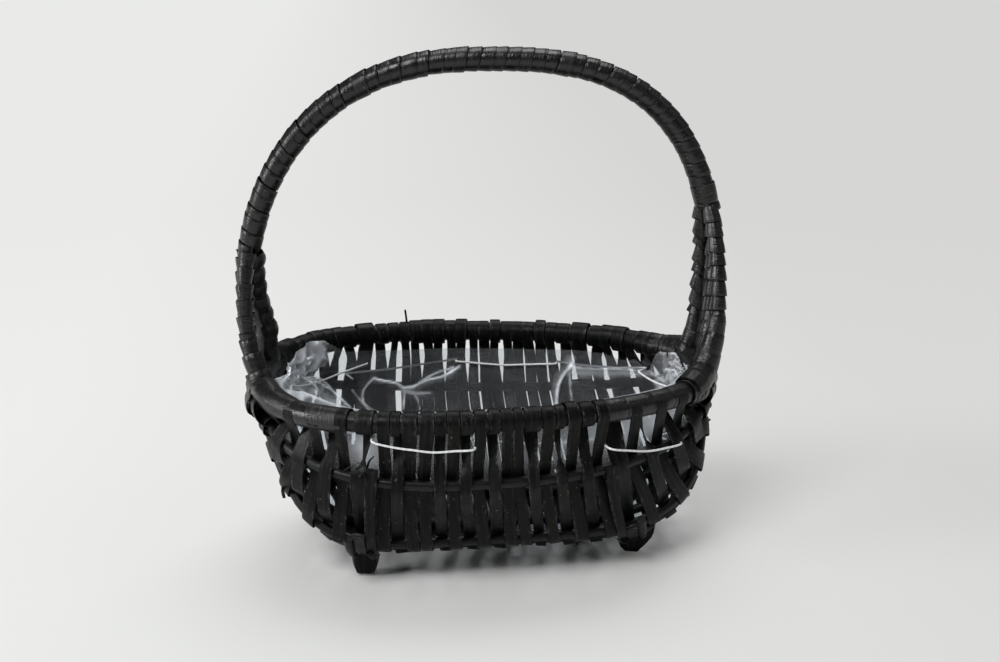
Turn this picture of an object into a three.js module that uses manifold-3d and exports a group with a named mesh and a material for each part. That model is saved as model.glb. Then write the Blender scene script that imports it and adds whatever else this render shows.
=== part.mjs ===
// A frame basket of black-stained wood: a rim hoop, seven round ribs that run out to the two handle
// joints, flat splints woven across them, a three-rod handle wound with ribbon, four bent-cane feet,
// and a clear film liner held by one white running stitch.
// Millimetres, +X along the basket, -Y its front, +Z up, the origin on the floor under its middle.

import * as THREE from "three";
import { mergeVertices } from "three/addons/utils/BufferGeometryUtils.js";
import Module from "manifold-3d";

const wasm = await Module();
wasm.setup();

// Driving dimensions of the rim
const RIM_HALF_LENGTH = 128;
const RIM_HALF_WIDTH = 84.7;
const RIM_HEIGHT = 103;
const RIM_ROD_RADIUS = 5.6;
const RIM_SQUARENESS = 2.32; // 2 is an ellipse, more is squarer
const RIM_TAPER = 0.127; // the left end is wider by this share, the right end narrower

// Driving dimensions of the body
const BODY_DEPTH = 93; // from the rim rod's centre to the keel's
const SECTION_SQUARENESS = 2.65;
const LEFT_END_SQUARENESS = 7;
const RIGHT_END_SQUARENESS = 5.4;
const LEFT_RAKE = 0.28; // how much shorter the body is at its bottom, as a share of the half length
const RIGHT_RAKE = 0.09;
const RAKE_CURVE = 1.4; // 1 is a straight raked end, more keeps it upright near the rim
const RIB_RADIUS = 2.9;
const RIB_GAP_TO_JOINT = 15; // where the long ribs start, from the handle joint
const UPPER_RIB_GAP_TO_JOINT = 26;
const BOTTOM_RIB_GAP_TO_JOINT = 38;
const UPPER_RIB_ANGLE = 16.5; // round the body from the rim, in degrees
const LOWER_RIB_ANGLE = 54.5;
const BOTTOM_RIB_ANGLE = 69.5;

// Driving dimensions of the woven splints
const SPLINT_WIDTH = 5.2;
const SPLINT_THICKNESS = 0.8;
const MIDDLE_PITCH = 7.1;
const END_PITCH = 9.3;
const CREST = 6; // the stretch of a splint that lies flat on a rib
const NEAR_RIB = 28; // a splint turns in under the rim where its first rib is nearer than this
const TUCK = 60; // how far round under the rim a splint's end goes, in degrees
const SAME_COURSE_GAPS = [-5, 2]; // the gaps, from the middle one, whose two splints go over and under alike
const CLEARANCE = 0.35; // between pieces that touch
const RIB_CLEARANCE = 0.55; // between a splint and a rib, because the rib bends across it

// Driving dimensions of the handle
const HANDLE_LEFT_REACH = 134; // from the middle to the leg's widest place
const HANDLE_RIGHT_REACH = 132.3;
const HANDLE_WIDEST_HEIGHT = 136;
const HANDLE_TOP_HEIGHT = 282.6; // to the middle of the bundle
const HANDLE_DRAW_IN = 5; // how far the legs lean in again at the rim
const LEFT_SHOULDER_SQUARENESS = 2.3;
const RIGHT_SHOULDER_SQUARENESS = 2.75;
const HANDLE_ROD_RADIUS = 2.6;
const ROD_SPREAD = 22; // how far the front and rear rods stand from the middle one at the rim
const FRONT_ROD_OUT = 1; // how far the front rod stands outside the middle one
const REAR_ROD_IN = 3.6; // and the rear one inside it
const ROD_RUN_START = 30; // where the front and rear rods come down on the rim, from the joint
const ROD_RUN_END = 48;
const LEFT_WINDING_HEIGHT = 178; // where the winding ends and the weave round the leg starts
const RIGHT_WINDING_HEIGHT = 201;
const RIBBON_THICKNESS = 0.8;
const WINDING_LOOPS = 24;
const WINDING_GAP = 1.6;
const WINDING_CLEARANCE = 0.5; // more than the others, because the wide ribbon is straight across an arch
const WEAVE_WIDTH = 4.1;
const WEAVE_PITCH = 9.8;
const LASHING_WIDTH = 4.4;
const LASHING_PITCH = 5.5;
const LASHING_LOOPS = 3; // on each side of the middle rod

// Driving dimensions of the feet
const FOOT_RADIUS = 2.5;
const FOOT_FLAT = 0.5; // how deep the foot is worn flat
const LEFT_FOOT_SPLINT = 9; // the splint that each foot straddles, counted from the middle
const RIGHT_FOOT_SPLINT = 10;
const LEFT_FOOT_LEG_ANGLE = 10; // where its long leg ends, round the body from the rim
const RIGHT_FOOT_LEG_ANGLE = 13.5;
const FOOT_SHORT_LEG_ANGLE = 44;
const LEFT_FOOT_BEND_ANGLE = 68;
const RIGHT_FOOT_BEND_ANGLE = 76;

// Driving dimensions of the liner and its stitch
const FILM_THICKNESS = 0.6;
const FILM_TOP_GAP = 1.55; // between the film and the splints' hooks, because the rim bends across them
const FILM_GAP_TO_JOINT = 5.5;
const FILM_LIP = 2; // how far the film stands over the rim's centre line
const LEFT_CRUMPLE = 15; // how much more it stands up in the gathered ends
const RIGHT_CRUMPLE = 9;
const THREAD_RADIUS = 0.6;
const THREAD_SAG = 2.4; // how much lower it hangs between two places
const THREAD_OFFSET = 5.2; // how far outside the wall it lies in front
const THREAD_REAR_OFFSET = -5.2; // and behind the film in the rear, inside the splints
const THREAD_SLACK = 1.2; // how far it stands off the film inside
const THREAD_END_TURN = 30; // how near the joint it turns round the ends inside the film
const THREAD_TAIL = 8;
const THREAD_STEP = 11;
const FRONT_STITCH_GAPS = [-8, -1, 9, 14]; // the gaps between splints it goes through, from the middle gap
const FRONT_STITCH_HEIGHTS = [94, 89.5, 83, 73.5];
const REAR_STITCH_GAPS = [13, 7, -4, -10];
const REAR_STITCH_HEIGHT = 85;

// Colours and finishes
const stainedWood = (color) => new THREE.MeshStandardMaterial({ color, roughness: 0.62, metalness: 0 });
const SPLINT_MATERIALS = [stainedWood(0x1f1f20), stainedWood(0x262524), stainedWood(0x1a1b1d)];
const ROD_MATERIAL = stainedWood(0x232120);
const RIBBON_MATERIAL = stainedWood(0x1e2121);
const FILM_MATERIAL = new THREE.MeshStandardMaterial({ color: 0xdfe4e8, roughness: 0.12, metalness: 0 });
const THREAD_MATERIAL = new THREE.MeshStandardMaterial({ color: 0xf1efea, roughness: 0.8, metalness: 0 });

const mix = THREE.MathUtils.lerp;
const radians = THREE.MathUtils.degToRad;
const UP = new THREE.Vector3(0, 0, 1);
const ACROSS = new THREE.Vector3(0, 1, 0);

// The wall: lines run from the left handle joint to the right one, each at its angle from the front
// rim at 0, under the bottom at 90 degrees, to the rear rim at 180
const shaped = (value, squareness) => Math.sign(value) * Math.abs(value) ** (2 / squareness);

class WallLine extends THREE.Curve {
  constructor(angle) {
    super();
    this.angle = angle;
    this.arcLengthDivisions = 600;
  }

  getPoint(t, target = new THREE.Vector3()) {
    const turn = Math.PI * t;
    const endSquareness = t < 0.5 ? LEFT_END_SQUARENESS : RIGHT_END_SQUARENESS;
    const squareness = mix(RIM_SQUARENESS, endSquareness, Math.sin(this.angle) ** 2);
    const size = (Math.abs(Math.cos(turn)) ** squareness + Math.sin(turn) ** squareness) ** (-1 / squareness);
    const along = -Math.cos(turn) * size;
    const reach = Math.sin(turn) * size;
    const halfWidth = RIM_HALF_WIDTH * (1 - RIM_TAPER * along);
    const depth = shaped(Math.sin(this.angle), SECTION_SQUARENESS) * reach;
    const rake = (t < 0.5 ? LEFT_RAKE : RIGHT_RAKE) * Math.abs(depth) ** RAKE_CURVE;
    return target.set(
      RIM_HALF_LENGTH * along * (1 - rake),
      -halfWidth * shaped(Math.cos(this.angle), SECTION_SQUARENESS) * reach,
      RIM_HEIGHT - BODY_DEPTH * depth,
    );
  }
}

const wallLines = new Map();

function wallLine(angle) {
  if (!wallLines.has(angle)) {
    wallLines.set(angle, new WallLine(angle));
  }
  return wallLines.get(angle);
}

const wallPoint = (share, angle) => wallLine(angle).getPointAt(THREE.MathUtils.clamp(share, 0, 1));

// The wall's point, its direction along the basket and its outward direction
function wallFrame(share, angle) {
  const shareStep = 0.002;
  const angleStep = 0.01;
  const along = wallPoint(share + shareStep, angle).sub(wallPoint(share - shareStep, angle)).normalize();
  const down = wallPoint(share, angle + angleStep).sub(wallPoint(share, angle - angleStep)).normalize();
  const out = new THREE.Vector3().crossVectors(down, along).normalize();
  return { point: wallPoint(share, angle), along, down, out };
}

const offWall = (share, angle, offset) => {
  const frame = wallFrame(share, angle);
  return frame.point.addScaledVector(frame.out, offset);
};

const RIM_LENGTH = wallLine(0).getLength();
const shareAt = (distance) => distance / RIM_LENGTH;

// A curve whose rings, when a rod is drawn along it, stand at its own points
class RingPath extends THREE.CatmullRomCurve3 {
  constructor(points) {
    super(points, false, "centripetal");
  }

  getPointAt(share, target) {
    return this.getPoint(share, target);
  }

  getTangentAt(share, target) {
    return this.getTangent(share, target);
  }
}

// A round rod through points
function rod(points, radius, sides) {
  const section = new THREE.Shape().absarc(0, 0, radius, 0, 2 * Math.PI);
  return new THREE.ExtrudeGeometry(section, {
    extrudePath: new RingPath(points),
    steps: points.length - 1,
    curveSegments: sides / 2,
    bevelEnabled: false,
  });
}

// A flat strip through points, its width turned along a direction given for each
function ribbon(points, widthways, width, thickness) {
  const steps = points.length - 1;
  const geometry = new THREE.BoxGeometry(steps, width, thickness, steps, 1, 1).translate(steps / 2, 0, 0);
  const frames = points.map((point, i) => {
    const forward = points[Math.min(i + 1, steps)].clone().sub(points[Math.max(i - 1, 0)]).normalize();
    const sideways = widthways[i].clone().normalize();
    return { point, sideways, face: new THREE.Vector3().crossVectors(forward, sideways).normalize() };
  });
  const corner = new THREE.Vector3();
  const place = geometry.getAttribute("position");
  for (let i = 0; i < place.count; i += 1) {
    corner.fromBufferAttribute(place, i);
    const { point, sideways, face } = frames[Math.round(corner.x)];
    const moved = point.clone().addScaledVector(sideways, corner.y).addScaledVector(face, corner.z);
    place.setXYZ(i, moved.x, moved.y, moved.z);
  }
  return geometry;
}

// Booleans
function toSolid(geometry) {
  const bare = geometry.clone();
  bare.deleteAttribute("normal");
  bare.deleteAttribute("uv");
  const merged = mergeVertices(bare, 1e-4);
  return new wasm.Manifold(
    new wasm.Mesh({
      numProp: 3,
      vertProperties: merged.getAttribute("position").array,
      triVerts: new Uint32Array(merged.index.array),
    }),
  );
}

function fromSolid(solid) {
  const mesh = solid.getMesh();
  const geometry = new THREE.BufferGeometry();
  geometry.setAttribute("position", new THREE.BufferAttribute(mesh.vertProperties, 3));
  geometry.setIndex(new THREE.BufferAttribute(mesh.triVerts, 1));
  geometry.computeVertexNormals();
  return geometry;
}

function piece(name, geometry, material) {
  const mesh = new THREE.Mesh(geometry, material);
  mesh.name = name;
  return mesh;
}

// Rim hoop: a ring whose round is laid along the rim
function rimPlace(turn) {
  const lap = THREE.MathUtils.euclideanModulo(turn, 2 * Math.PI) / Math.PI;
  return lap < 1 ? wallPoint(1 - lap, Math.PI) : wallPoint(lap - 1, 0);
}

function rimHoop() {
  const turnStep = 0.01;
  const geometry = new THREE.TorusGeometry(RIM_HALF_LENGTH, RIM_ROD_RADIUS, 8, 54);
  const place = geometry.getAttribute("position");
  const corner = new THREE.Vector3();
  for (let i = 0; i < place.count; i += 1) {
    corner.fromBufferAttribute(place, i);
    const turn = Math.atan2(corner.y, corner.x);
    const outwards = Math.hypot(corner.x, corner.y) - RIM_HALF_LENGTH;
    const forward = rimPlace(turn + turnStep).sub(rimPlace(turn - turnStep)).normalize();
    const out = forward.cross(UP).normalize();
    const moved = rimPlace(turn).addScaledVector(out, outwards).addScaledVector(UP, corner.z);
    place.setXYZ(i, moved.x, moved.y, moved.z);
  }
  return piece("rim_hoop", geometry, ROD_MATERIAL);
}

// Ribs
const RIBS = [
  { name: "rib_front_upper", angle: UPPER_RIB_ANGLE, gap: UPPER_RIB_GAP_TO_JOINT },
  { name: "rib_front_lower", angle: LOWER_RIB_ANGLE, gap: RIB_GAP_TO_JOINT },
  { name: "rib_front_bottom", angle: BOTTOM_RIB_ANGLE, gap: BOTTOM_RIB_GAP_TO_JOINT },
  { name: "rib_keel", angle: 90, gap: RIB_GAP_TO_JOINT },
  { name: "rib_rear_bottom", angle: 180 - BOTTOM_RIB_ANGLE, gap: BOTTOM_RIB_GAP_TO_JOINT },
  { name: "rib_rear_lower", angle: 180 - LOWER_RIB_ANGLE, gap: RIB_GAP_TO_JOINT },
  { name: "rib_rear_upper", angle: 180 - UPPER_RIB_ANGLE, gap: UPPER_RIB_GAP_TO_JOINT },
];

function rib({ name, angle, gap }) {
  const line = wallLine(radians(angle));
  const first = gap / line.getLength();
  const steps = 28;
  const points = [];
  for (let i = 0; i <= steps; i += 1) {
    const even = i / steps;
    const closerAtEnds = (1 - Math.cos(Math.PI * even)) / 2;
    points.push(line.getPointAt(mix(first, 1 - first, closerAtEnds)));
  }
  return piece(name, rod(points, RIB_RADIUS, 6), ROD_MATERIAL);
}

// Where the splints stand along the rim, clear of the lashings at the handle joints. Each foot's two
// legs stand in the gaps beside one splint
const LEG_ROOM = 2 * (FOOT_RADIUS + CLEARANCE);
const LASHING_START = HANDLE_ROD_RADIUS + LASHING_WIDTH / 2 + 2 * CLEARANCE;
const LASHING_REACH = LASHING_PITCH * LASHING_LOOPS;
const SPLINT_FREE_END = LASHING_START + LASHING_REACH + (LASHING_WIDTH + SPLINT_WIDTH) / 2 + CLEARANCE;

function splintsFromMiddle(footSplint) {
  const places = [];
  const half = RIM_LENGTH / 2;
  let place = MIDDLE_PITCH / 2;
  for (let i = 1; place < half - SPLINT_FREE_END; i += 1) {
    places.push(place);
    const besideLeg = i === footSplint - 1 || i === footSplint;
    const pitch = mix(MIDDLE_PITCH, END_PITCH, (place / half) ** 2);
    place += besideLeg ? SPLINT_WIDTH + LEG_ROOM : pitch;
  }
  return places;
}

const LEFT_SPLINTS = splintsFromMiddle(LEFT_FOOT_SPLINT);
const RIGHT_SPLINTS = splintsFromMiddle(RIGHT_FOOT_SPLINT);
const SPLINTS = [
  ...LEFT_SPLINTS.map((place) => RIM_LENGTH / 2 - place).reverse(),
  ...RIGHT_SPLINTS.map((place) => RIM_LENGTH / 2 + place),
];

// Splints: each hooks over the front rim, goes under and over the ribs, and hooks over the rear rim
const RIB_OFFSET = RIB_RADIUS + RIB_CLEARANCE + SPLINT_THICKNESS / 2;
const RIM_OFFSET = RIM_ROD_RADIUS + CLEARANCE + SPLINT_THICKNESS / 2;
const RUN_LIFT = RIM_ROD_RADIUS + CLEARANCE + HANDLE_ROD_RADIUS;
const RUN_OFFSET = HANDLE_ROD_RADIUS + 2 * CLEARANCE + SPLINT_THICKNESS / 2;

// The hook's points, from its free end to the wall: side is 1 where the splint goes down outside.
// Where the next rib is near, the splint follows the rim one step further round
function rimHook(share, angle, side, lift, nearRib) {
  const { point, along, out } = wallFrame(share, angle);
  const steps = 5;
  const step = (180 + TUCK) / steps;
  const roomy = 1 / Math.cos(radians(step / 2));
  const points = [];
  for (let i = steps; i >= (nearRib ? -1 : 0); i -= 1) {
    const turn = radians(i * step);
    const overRod = lift && RUN_OFFSET + lift * Math.sin(turn) > RIM_OFFSET;
    const radius = (overRod ? RUN_OFFSET : RIM_OFFSET) * roomy;
    points.push(
      point
        .clone()
        .addScaledVector(out, side * radius * Math.cos(turn))
        .addScaledVector(UP, (overRod ? lift : 0) + radius * Math.sin(turn)),
    );
  }
  return { points, along };
}

// The ribs that reach under a splint
function crossedRibs(share) {
  return RIBS.filter(({ angle, gap }) => {
    const fromJoint = Math.min(share, 1 - share) * wallLine(radians(angle)).getLength();
    return fromJoint > gap - SPLINT_WIDTH / 2 - CLEARANCE;
  });
}

function splint(place, index) {
  const share = shareAt(place);
  const distanceToJoint = Math.min(place, RIM_LENGTH - place);
  const ribs = crossedRibs(share);
  const points = [];
  const widthways = [];
  const add = (point, along) => {
    points.push(point);
    widthways.push(along);
  };
  const repeats = SAME_COURSE_GAPS.filter((gap) => index >= LEFT_SPLINTS.length + gap).length;
  const firstSide = (index + repeats) % 2 ? 1 : -1;
  const lastSide = ribs.length % 2 ? -firstSide : firstSide;
  const hooked = distanceToJoint > ROD_RUN_START + SPLINT_WIDTH / 2;
  const lift = distanceToJoint < ROD_RUN_END + SPLINT_WIDTH ? RUN_LIFT : 0;
  const nearRib = wallPoint(share, 0).distanceTo(wallPoint(share, radians(ribs[0].angle))) < NEAR_RIB;
  if (hooked) {
    const hook = rimHook(share, 0, -firstSide, lift, nearRib);
    hook.points.forEach((point) => add(point, hook.along));
  }
  ribs.forEach(({ angle }, i) => {
    const side = i % 2 ? -firstSide : firstSide;
    const turn = radians(angle);
    const step = 0.02;
    const stepLength = wallPoint(share, turn - step).distanceTo(wallPoint(share, turn + step)) / 2;
    const halfWidth = SPLINT_WIDTH / 2 / wallLine(turn).getLength();
    const chord = wallPoint(share - halfWidth, turn).add(wallPoint(share + halfWidth, turn)).multiplyScalar(0.5);
    const bend = side < 0 ? chord.distanceTo(wallPoint(share, turn)) : 0;
    for (const end of [-1, 1]) {
      const there = turn + (end * step * CREST) / (2 * stepLength);
      add(offWall(share, there, side * (RIB_OFFSET + 1.5 * bend)), wallFrame(share, there).along);
    }
  });
  if (hooked) {
    const hook = rimHook(share, Math.PI, lastSide, lift, nearRib);
    hook.points.reverse().forEach((point) => add(point, hook.along));
  }
  const name = "splint_" + String(index + 1).padStart(2, "0");
  const material = SPLINT_MATERIALS[index % SPLINT_MATERIALS.length];
  return piece(name, ribbon(points, widthways, SPLINT_WIDTH, SPLINT_THICKNESS), material);
}

// The handle's centre line, from the left joint up, over and down to the right one
function handleCentre(side, lap) {
  const squareness = side < 0 ? LEFT_SHOULDER_SQUARENESS : RIGHT_SHOULDER_SQUARENESS;
  const reach = side < 0 ? HANDLE_LEFT_REACH : HANDLE_RIGHT_REACH;
  const legShare = 0.2;
  if (lap < legShare) {
    const height = mix(RIM_HEIGHT, HANDLE_WIDEST_HEIGHT, lap / legShare);
    const below = 1 - lap / legShare;
    return new THREE.Vector3(side * (reach - HANDLE_DRAW_IN * below ** 2), 0, height);
  }
  const turn = ((lap - legShare) / (1 - legShare)) * (Math.PI / 2);
  const rise = HANDLE_TOP_HEIGHT - HANDLE_WIDEST_HEIGHT;
  return new THREE.Vector3(
    side * reach * shaped(Math.cos(turn), squareness),
    0,
    HANDLE_WIDEST_HEIGHT + rise * shaped(Math.sin(turn), squareness),
  );
}

function handleLine() {
  const half = 40;
  const points = [];
  for (let i = 0; i < half; i += 1) {
    points.push(handleCentre(-1, i / half));
  }
  for (let i = half; i >= 0; i -= 1) {
    points.push(handleCentre(1, i / half));
  }
  const line = new THREE.CatmullRomCurve3(points);
  line.arcLengthDivisions = 1200;
  return line;
}

const HANDLE_LINE = handleLine();
const HANDLE_LENGTH = HANDLE_LINE.getLength();

// The place on the handle's line, as a share of its length, at a height on one side
function handleShareAt(side, height) {
  let low = 0;
  let high = 0.5;
  for (let i = 0; i < 40; i += 1) {
    const middle = (low + high) / 2;
    const share = side < 0 ? middle : 1 - middle;
    if (HANDLE_LINE.getPointAt(share).z < height) {
      low = middle;
    } else {
      high = middle;
    }
  }
  return side < 0 ? low : 1 - low;
}

const LEFT_WINDING_END = handleShareAt(-1, LEFT_WINDING_HEIGHT);
const RIGHT_WINDING_END = handleShareAt(1, RIGHT_WINDING_HEIGHT);

// Three rods packed in a triangle: each one's place in the bundle, outwards and to the rear
const BUNDLE_TURN = -80;
const BUNDLE_RADIUS = (2 * HANDLE_ROD_RADIUS + CLEARANCE) / Math.sqrt(3);
const inBundle = (degrees) => ({
  out: BUNDLE_RADIUS * Math.cos(radians(degrees)),
  rear: BUNDLE_RADIUS * Math.sin(radians(degrees)),
});
const HANDLE_RODS = [
  { name: "front", bundle: inBundle(BUNDLE_TURN), foot: { out: FRONT_ROD_OUT, rear: -ROD_SPREAD } },
  { name: "middle", bundle: inBundle(BUNDLE_TURN + 120), foot: { out: 0, rear: 0 } },
  { name: "rear", bundle: inBundle(BUNDLE_TURN + 240), foot: { out: -REAR_ROD_IN, rear: ROD_SPREAD } },
];

// How far down the leg a share of the handle lies: 0 in the winding, 1 at the rim
function legShare(share) {
  const left = (LEFT_WINDING_END - share) / LEFT_WINDING_END;
  const right = (share - RIGHT_WINDING_END) / (1 - RIGHT_WINDING_END);
  return Math.max(left, right, 0);
}

function handleFrame(share) {
  const along = HANDLE_LINE.getTangentAt(share);
  const out = new THREE.Vector3().crossVectors(along, ACROSS).normalize();
  return { point: HANDLE_LINE.getPointAt(share), along, out };
}

function rodPlace({ bundle, foot }, share) {
  const { point, out } = handleFrame(share);
  const down = legShare(share);
  const spread = 1 - (1 - down) ** 2;
  return point
    .addScaledVector(out, mix(bundle.out, foot.out, spread ** 2))
    .addScaledVector(ACROSS, mix(bundle.rear, foot.rear, spread));
}

// A handle rod. The front and rear ones bend over on to the rim and run along it
const ROD_BEND_DOWN = 0.68; // how far down the leg the bend starts

function handleRod(shape) {
  const points = [];
  const side = Math.sign(shape.foot.rear);
  const runAngle = side < 0 ? 0 : Math.PI;
  const run = [ROD_RUN_END, mix(ROD_RUN_START, ROD_RUN_END, 0.5), ROD_RUN_START];
  const onRim = (distance) => wallPoint(distance, runAngle).addScaledVector(UP, RUN_LIFT);
  const seat = RIM_HEIGHT + RIM_ROD_RADIUS + CLEARANCE;
  const down = side ? ROD_BEND_DOWN : 1;
  const first = side ? LEFT_WINDING_END * (1 - down) : handleShareAt(-1, seat);
  const last = side ? mix(RIGHT_WINDING_END, 1, down) : handleShareAt(1, seat);
  if (side) {
    run.forEach((distance) => points.push(onRim(shareAt(distance))));
  }
  const legSteps = 8;
  const archSteps = 26;
  for (let i = 0; i < legSteps; i += 1) {
    points.push(rodPlace(shape, mix(first, LEFT_WINDING_END, i / legSteps)));
  }
  for (let i = 0; i < archSteps; i += 1) {
    points.push(rodPlace(shape, mix(LEFT_WINDING_END, RIGHT_WINDING_END, i / archSteps)));
  }
  for (let i = 0; i <= legSteps; i += 1) {
    points.push(rodPlace(shape, mix(RIGHT_WINDING_END, last, i / legSteps)));
  }
  if (side) {
    run.reverse().forEach((distance) => points.push(onRim(1 - shareAt(distance))));
  }
  return piece("handle_rod_" + shape.name, rod(points, HANDLE_ROD_RADIUS, 6), ROD_MATERIAL);
}

// The winding: one ribbon helix round the bundle, laid on the outline of the three rods
const WINDING_STEPS = 12; // in a loop
const WINDING_OFFSET =
  (HANDLE_ROD_RADIUS + WINDING_CLEARANCE + RIBBON_THICKNESS / 2) / Math.cos(Math.PI / WINDING_STEPS);
const WINDING_PITCH = ((RIGHT_WINDING_END - LEFT_WINDING_END) * HANDLE_LENGTH) / (WINDING_LOOPS + 1);
const WINDING_WIDTH = WINDING_PITCH - WINDING_GAP;

function roundBundle(share, turn, offset) {
  const { point, along, out } = handleFrame(share);
  const facing = { out: Math.cos(turn), rear: Math.sin(turn) };
  const reach = ({ bundle }) => bundle.out * facing.out + bundle.rear * facing.rear;
  const outermost = HANDLE_RODS.reduce((best, next) => (reach(next) > reach(best) ? next : best));
  point.addScaledVector(out, outermost.bundle.out + offset * facing.out);
  point.addScaledVector(ACROSS, outermost.bundle.rear + offset * facing.rear);
  return { point, along };
}

// The least distance between two loops of a ribbon, measured on its edges
function leastGap(points, widthways, width, stepsPerLoop) {
  const edges = points.map((point, i) => [
    point.clone().addScaledVector(widthways[i], -width / 2),
    point.clone().addScaledVector(widthways[i], width / 2),
  ]);
  let least = Infinity;
  for (let i = 0; i < edges.length; i += 1) {
    for (let j = i + Math.ceil(stepsPerLoop / 2); j < edges.length; j += 1) {
      for (const a of edges[i]) {
        edges[j].forEach((b) => (least = Math.min(least, a.distanceTo(b))));
      }
    }
  }
  return least;
}

function handleWinding() {
  const steps = WINDING_LOOPS * WINDING_STEPS;
  const firstTurn = radians(BUNDLE_TURN + 180 / 3 - 180 / WINDING_STEPS);
  const margin = WINDING_PITCH / 2 / HANDLE_LENGTH;
  const points = [];
  const widthways = [];
  for (let i = 0; i <= steps; i += 1) {
    const share = mix(LEFT_WINDING_END + margin, RIGHT_WINDING_END - margin, i / steps);
    const { point, along } = roundBundle(share, firstTurn + (2 * Math.PI * i) / WINDING_STEPS, WINDING_OFFSET);
    points.push(point);
    widthways.push(along);
  }
  const least = leastGap(points, widthways, WINDING_WIDTH, WINDING_STEPS);
  console.log("handle_winding: least gap between its loops " + least.toFixed(2) + " mm");
  return piece("handle_winding", ribbon(points, widthways, WINDING_WIDTH, RIBBON_THICKNESS), RIBBON_MATERIAL);
}

// The weave round each leg: rows go over and under the three rods, and climb where they turn back
const LEG_OFFSET = HANDLE_ROD_RADIUS + 1.5 * CLEARANCE + RIBBON_THICKNESS / 2;
const WEAVE_CREST = 4.8;
const WEAVE_TOP_DOWN = 0.27;
const WEAVE_BOTTOM_DOWN = 0.66;

function legWeave(name, windingEnd, jointShare) {
  const shareDown = (down) => mix(windingEnd, jointShare, down);
  const length = Math.abs(shareDown(WEAVE_BOTTOM_DOWN) - shareDown(WEAVE_TOP_DOWN)) * HANDLE_LENGTH;
  const rows = Math.floor((2 * length) / WEAVE_PITCH);
  const points = [];
  const widthways = [];
  const add = (share, shape, outwards, rearwards) => {
    const step = 0.002;
    const along = rodPlace(shape, share + step).sub(rodPlace(shape, share - step)).normalize();
    const rear = ACROSS.clone().addScaledVector(along, -along.y).normalize();
    const out = new THREE.Vector3().crossVectors(along, rear);
    points.push(rodPlace(shape, share).addScaledVector(out, outwards).addScaledVector(rear, rearwards));
    widthways.push(along);
  };
  for (let row = 0; row < rows; row += 1) {
    const share = shareDown(mix(WEAVE_TOP_DOWN, WEAVE_BOTTOM_DOWN, row / (rows - 1)));
    const next = shareDown(mix(WEAVE_TOP_DOWN, WEAVE_BOTTOM_DOWN, (row + 0.5) / (rows - 1)));
    const heading = row % 2 ? -1 : 1;
    const order = heading > 0 ? HANDLE_RODS : [...HANDLE_RODS].reverse();
    order.forEach((shape, i) => {
      const side = (i % 2 ? -1 : 1) * heading;
      add(share, shape, side * LEG_OFFSET, (-heading * WEAVE_CREST) / 2);
      add(share, shape, side * LEG_OFFSET, (heading * WEAVE_CREST) / 2);
    });
    if (row < rows - 1) {
      add(next, order[2], 0, heading * LEG_OFFSET);
    }
  }
  return piece(name, ribbon(points, widthways, WEAVE_WIDTH, RIBBON_THICKNESS), RIBBON_MATERIAL);
}

// The lashing round the rim at each handle joint: loops on both sides of the middle rod
function earLashing(name, jointTurn) {
  const stepsPerLoop = 10;
  const steps = LASHING_LOOPS * stepsPerLoop;
  const points = [];
  const widthways = [];
  const radius = RIM_OFFSET / Math.cos(Math.PI / stepsPerLoop);
  const add = (away, lap) => {
    const turn = jointTurn + (away * Math.PI) / RIM_LENGTH;
    const forward = rimPlace(turn + 0.02).sub(rimPlace(turn - 0.02)).normalize();
    const out = new THREE.Vector3().crossVectors(forward, UP).normalize();
    const around = 2 * Math.PI * lap - Math.PI / 2;
    const point = rimPlace(turn)
      .addScaledVector(out, radius * Math.cos(around))
      .addScaledVector(UP, radius * Math.sin(around));
    points.push(point);
    widthways.push(forward);
  };
  for (let i = 0; i < steps; i += 1) {
    add(-LASHING_START - LASHING_REACH * (1 - i / steps), i / stepsPerLoop);
  }
  add(0, LASHING_LOOPS);
  for (let i = 1; i <= steps; i += 1) {
    add(LASHING_START + (LASHING_REACH * i) / steps, i / stepsPerLoop);
  }
  const least = leastGap(points, widthways, LASHING_WIDTH, stepsPerLoop);
  console.log(name + ": least gap between its loops " + least.toFixed(2) + " mm");
  return piece(name, ribbon(points, widthways, LASHING_WIDTH, RIBBON_THICKNESS), RIBBON_MATERIAL);
}

// Feet: a bent cane straddles one splint, outside the ribs, and its bend stands on the floor
function foot(name, { place, legAngle, bendAngle, inner }, rear) {
  const offset = RIB_RADIUS + CLEARANCE + FOOT_RADIUS;
  const halfSpread = SPLINT_WIDTH / 2 + CLEARANCE + FOOT_RADIUS;
  const facing = (degrees) => radians(rear ? 180 - degrees : degrees);
  const leg = (side, degrees) => offWall(shareAt(place + side * halfSpread), facing(degrees), offset);
  const bendRadius = halfSpread;
  const bendHeight = FOOT_RADIUS - FOOT_FLAT + bendRadius;
  const points = [];
  const longSteps = 6;
  const shortSteps = 3;
  for (let i = 0; i <= longSteps; i += 1) {
    points.push(leg(inner, mix(legAngle, bendAngle, i / longSteps)));
  }
  const down = leg(inner, bendAngle);
  const up = leg(-inner, bendAngle);
  const centre = down.clone().add(up).multiplyScalar(0.5).setZ(bendHeight);
  const sideways = up.clone().sub(down).setZ(0).normalize();
  for (const degrees of [180, 225, 270, 315, 360]) {
    const turn = radians(degrees);
    points.push(
      centre
        .clone()
        .addScaledVector(sideways, bendRadius * Math.cos(turn))
        .addScaledVector(UP, bendRadius * Math.sin(turn)),
    );
  }
  for (let i = shortSteps; i >= 0; i -= 1) {
    points.push(leg(-inner, mix(FOOT_SHORT_LEG_ANGLE, bendAngle, i / shortSteps)));
  }
  const floorBlock = new THREE.BoxGeometry(4 * bendRadius, 4 * bendRadius, 2 * FOOT_RADIUS);
  floorBlock.translate(centre.x, centre.y, -FOOT_RADIUS);
  const cut = toSolid(rod(points, FOOT_RADIUS, 6)).subtract(toSolid(floorBlock));
  return piece(name, fromSolid(cut), ROD_MATERIAL);
}

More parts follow.
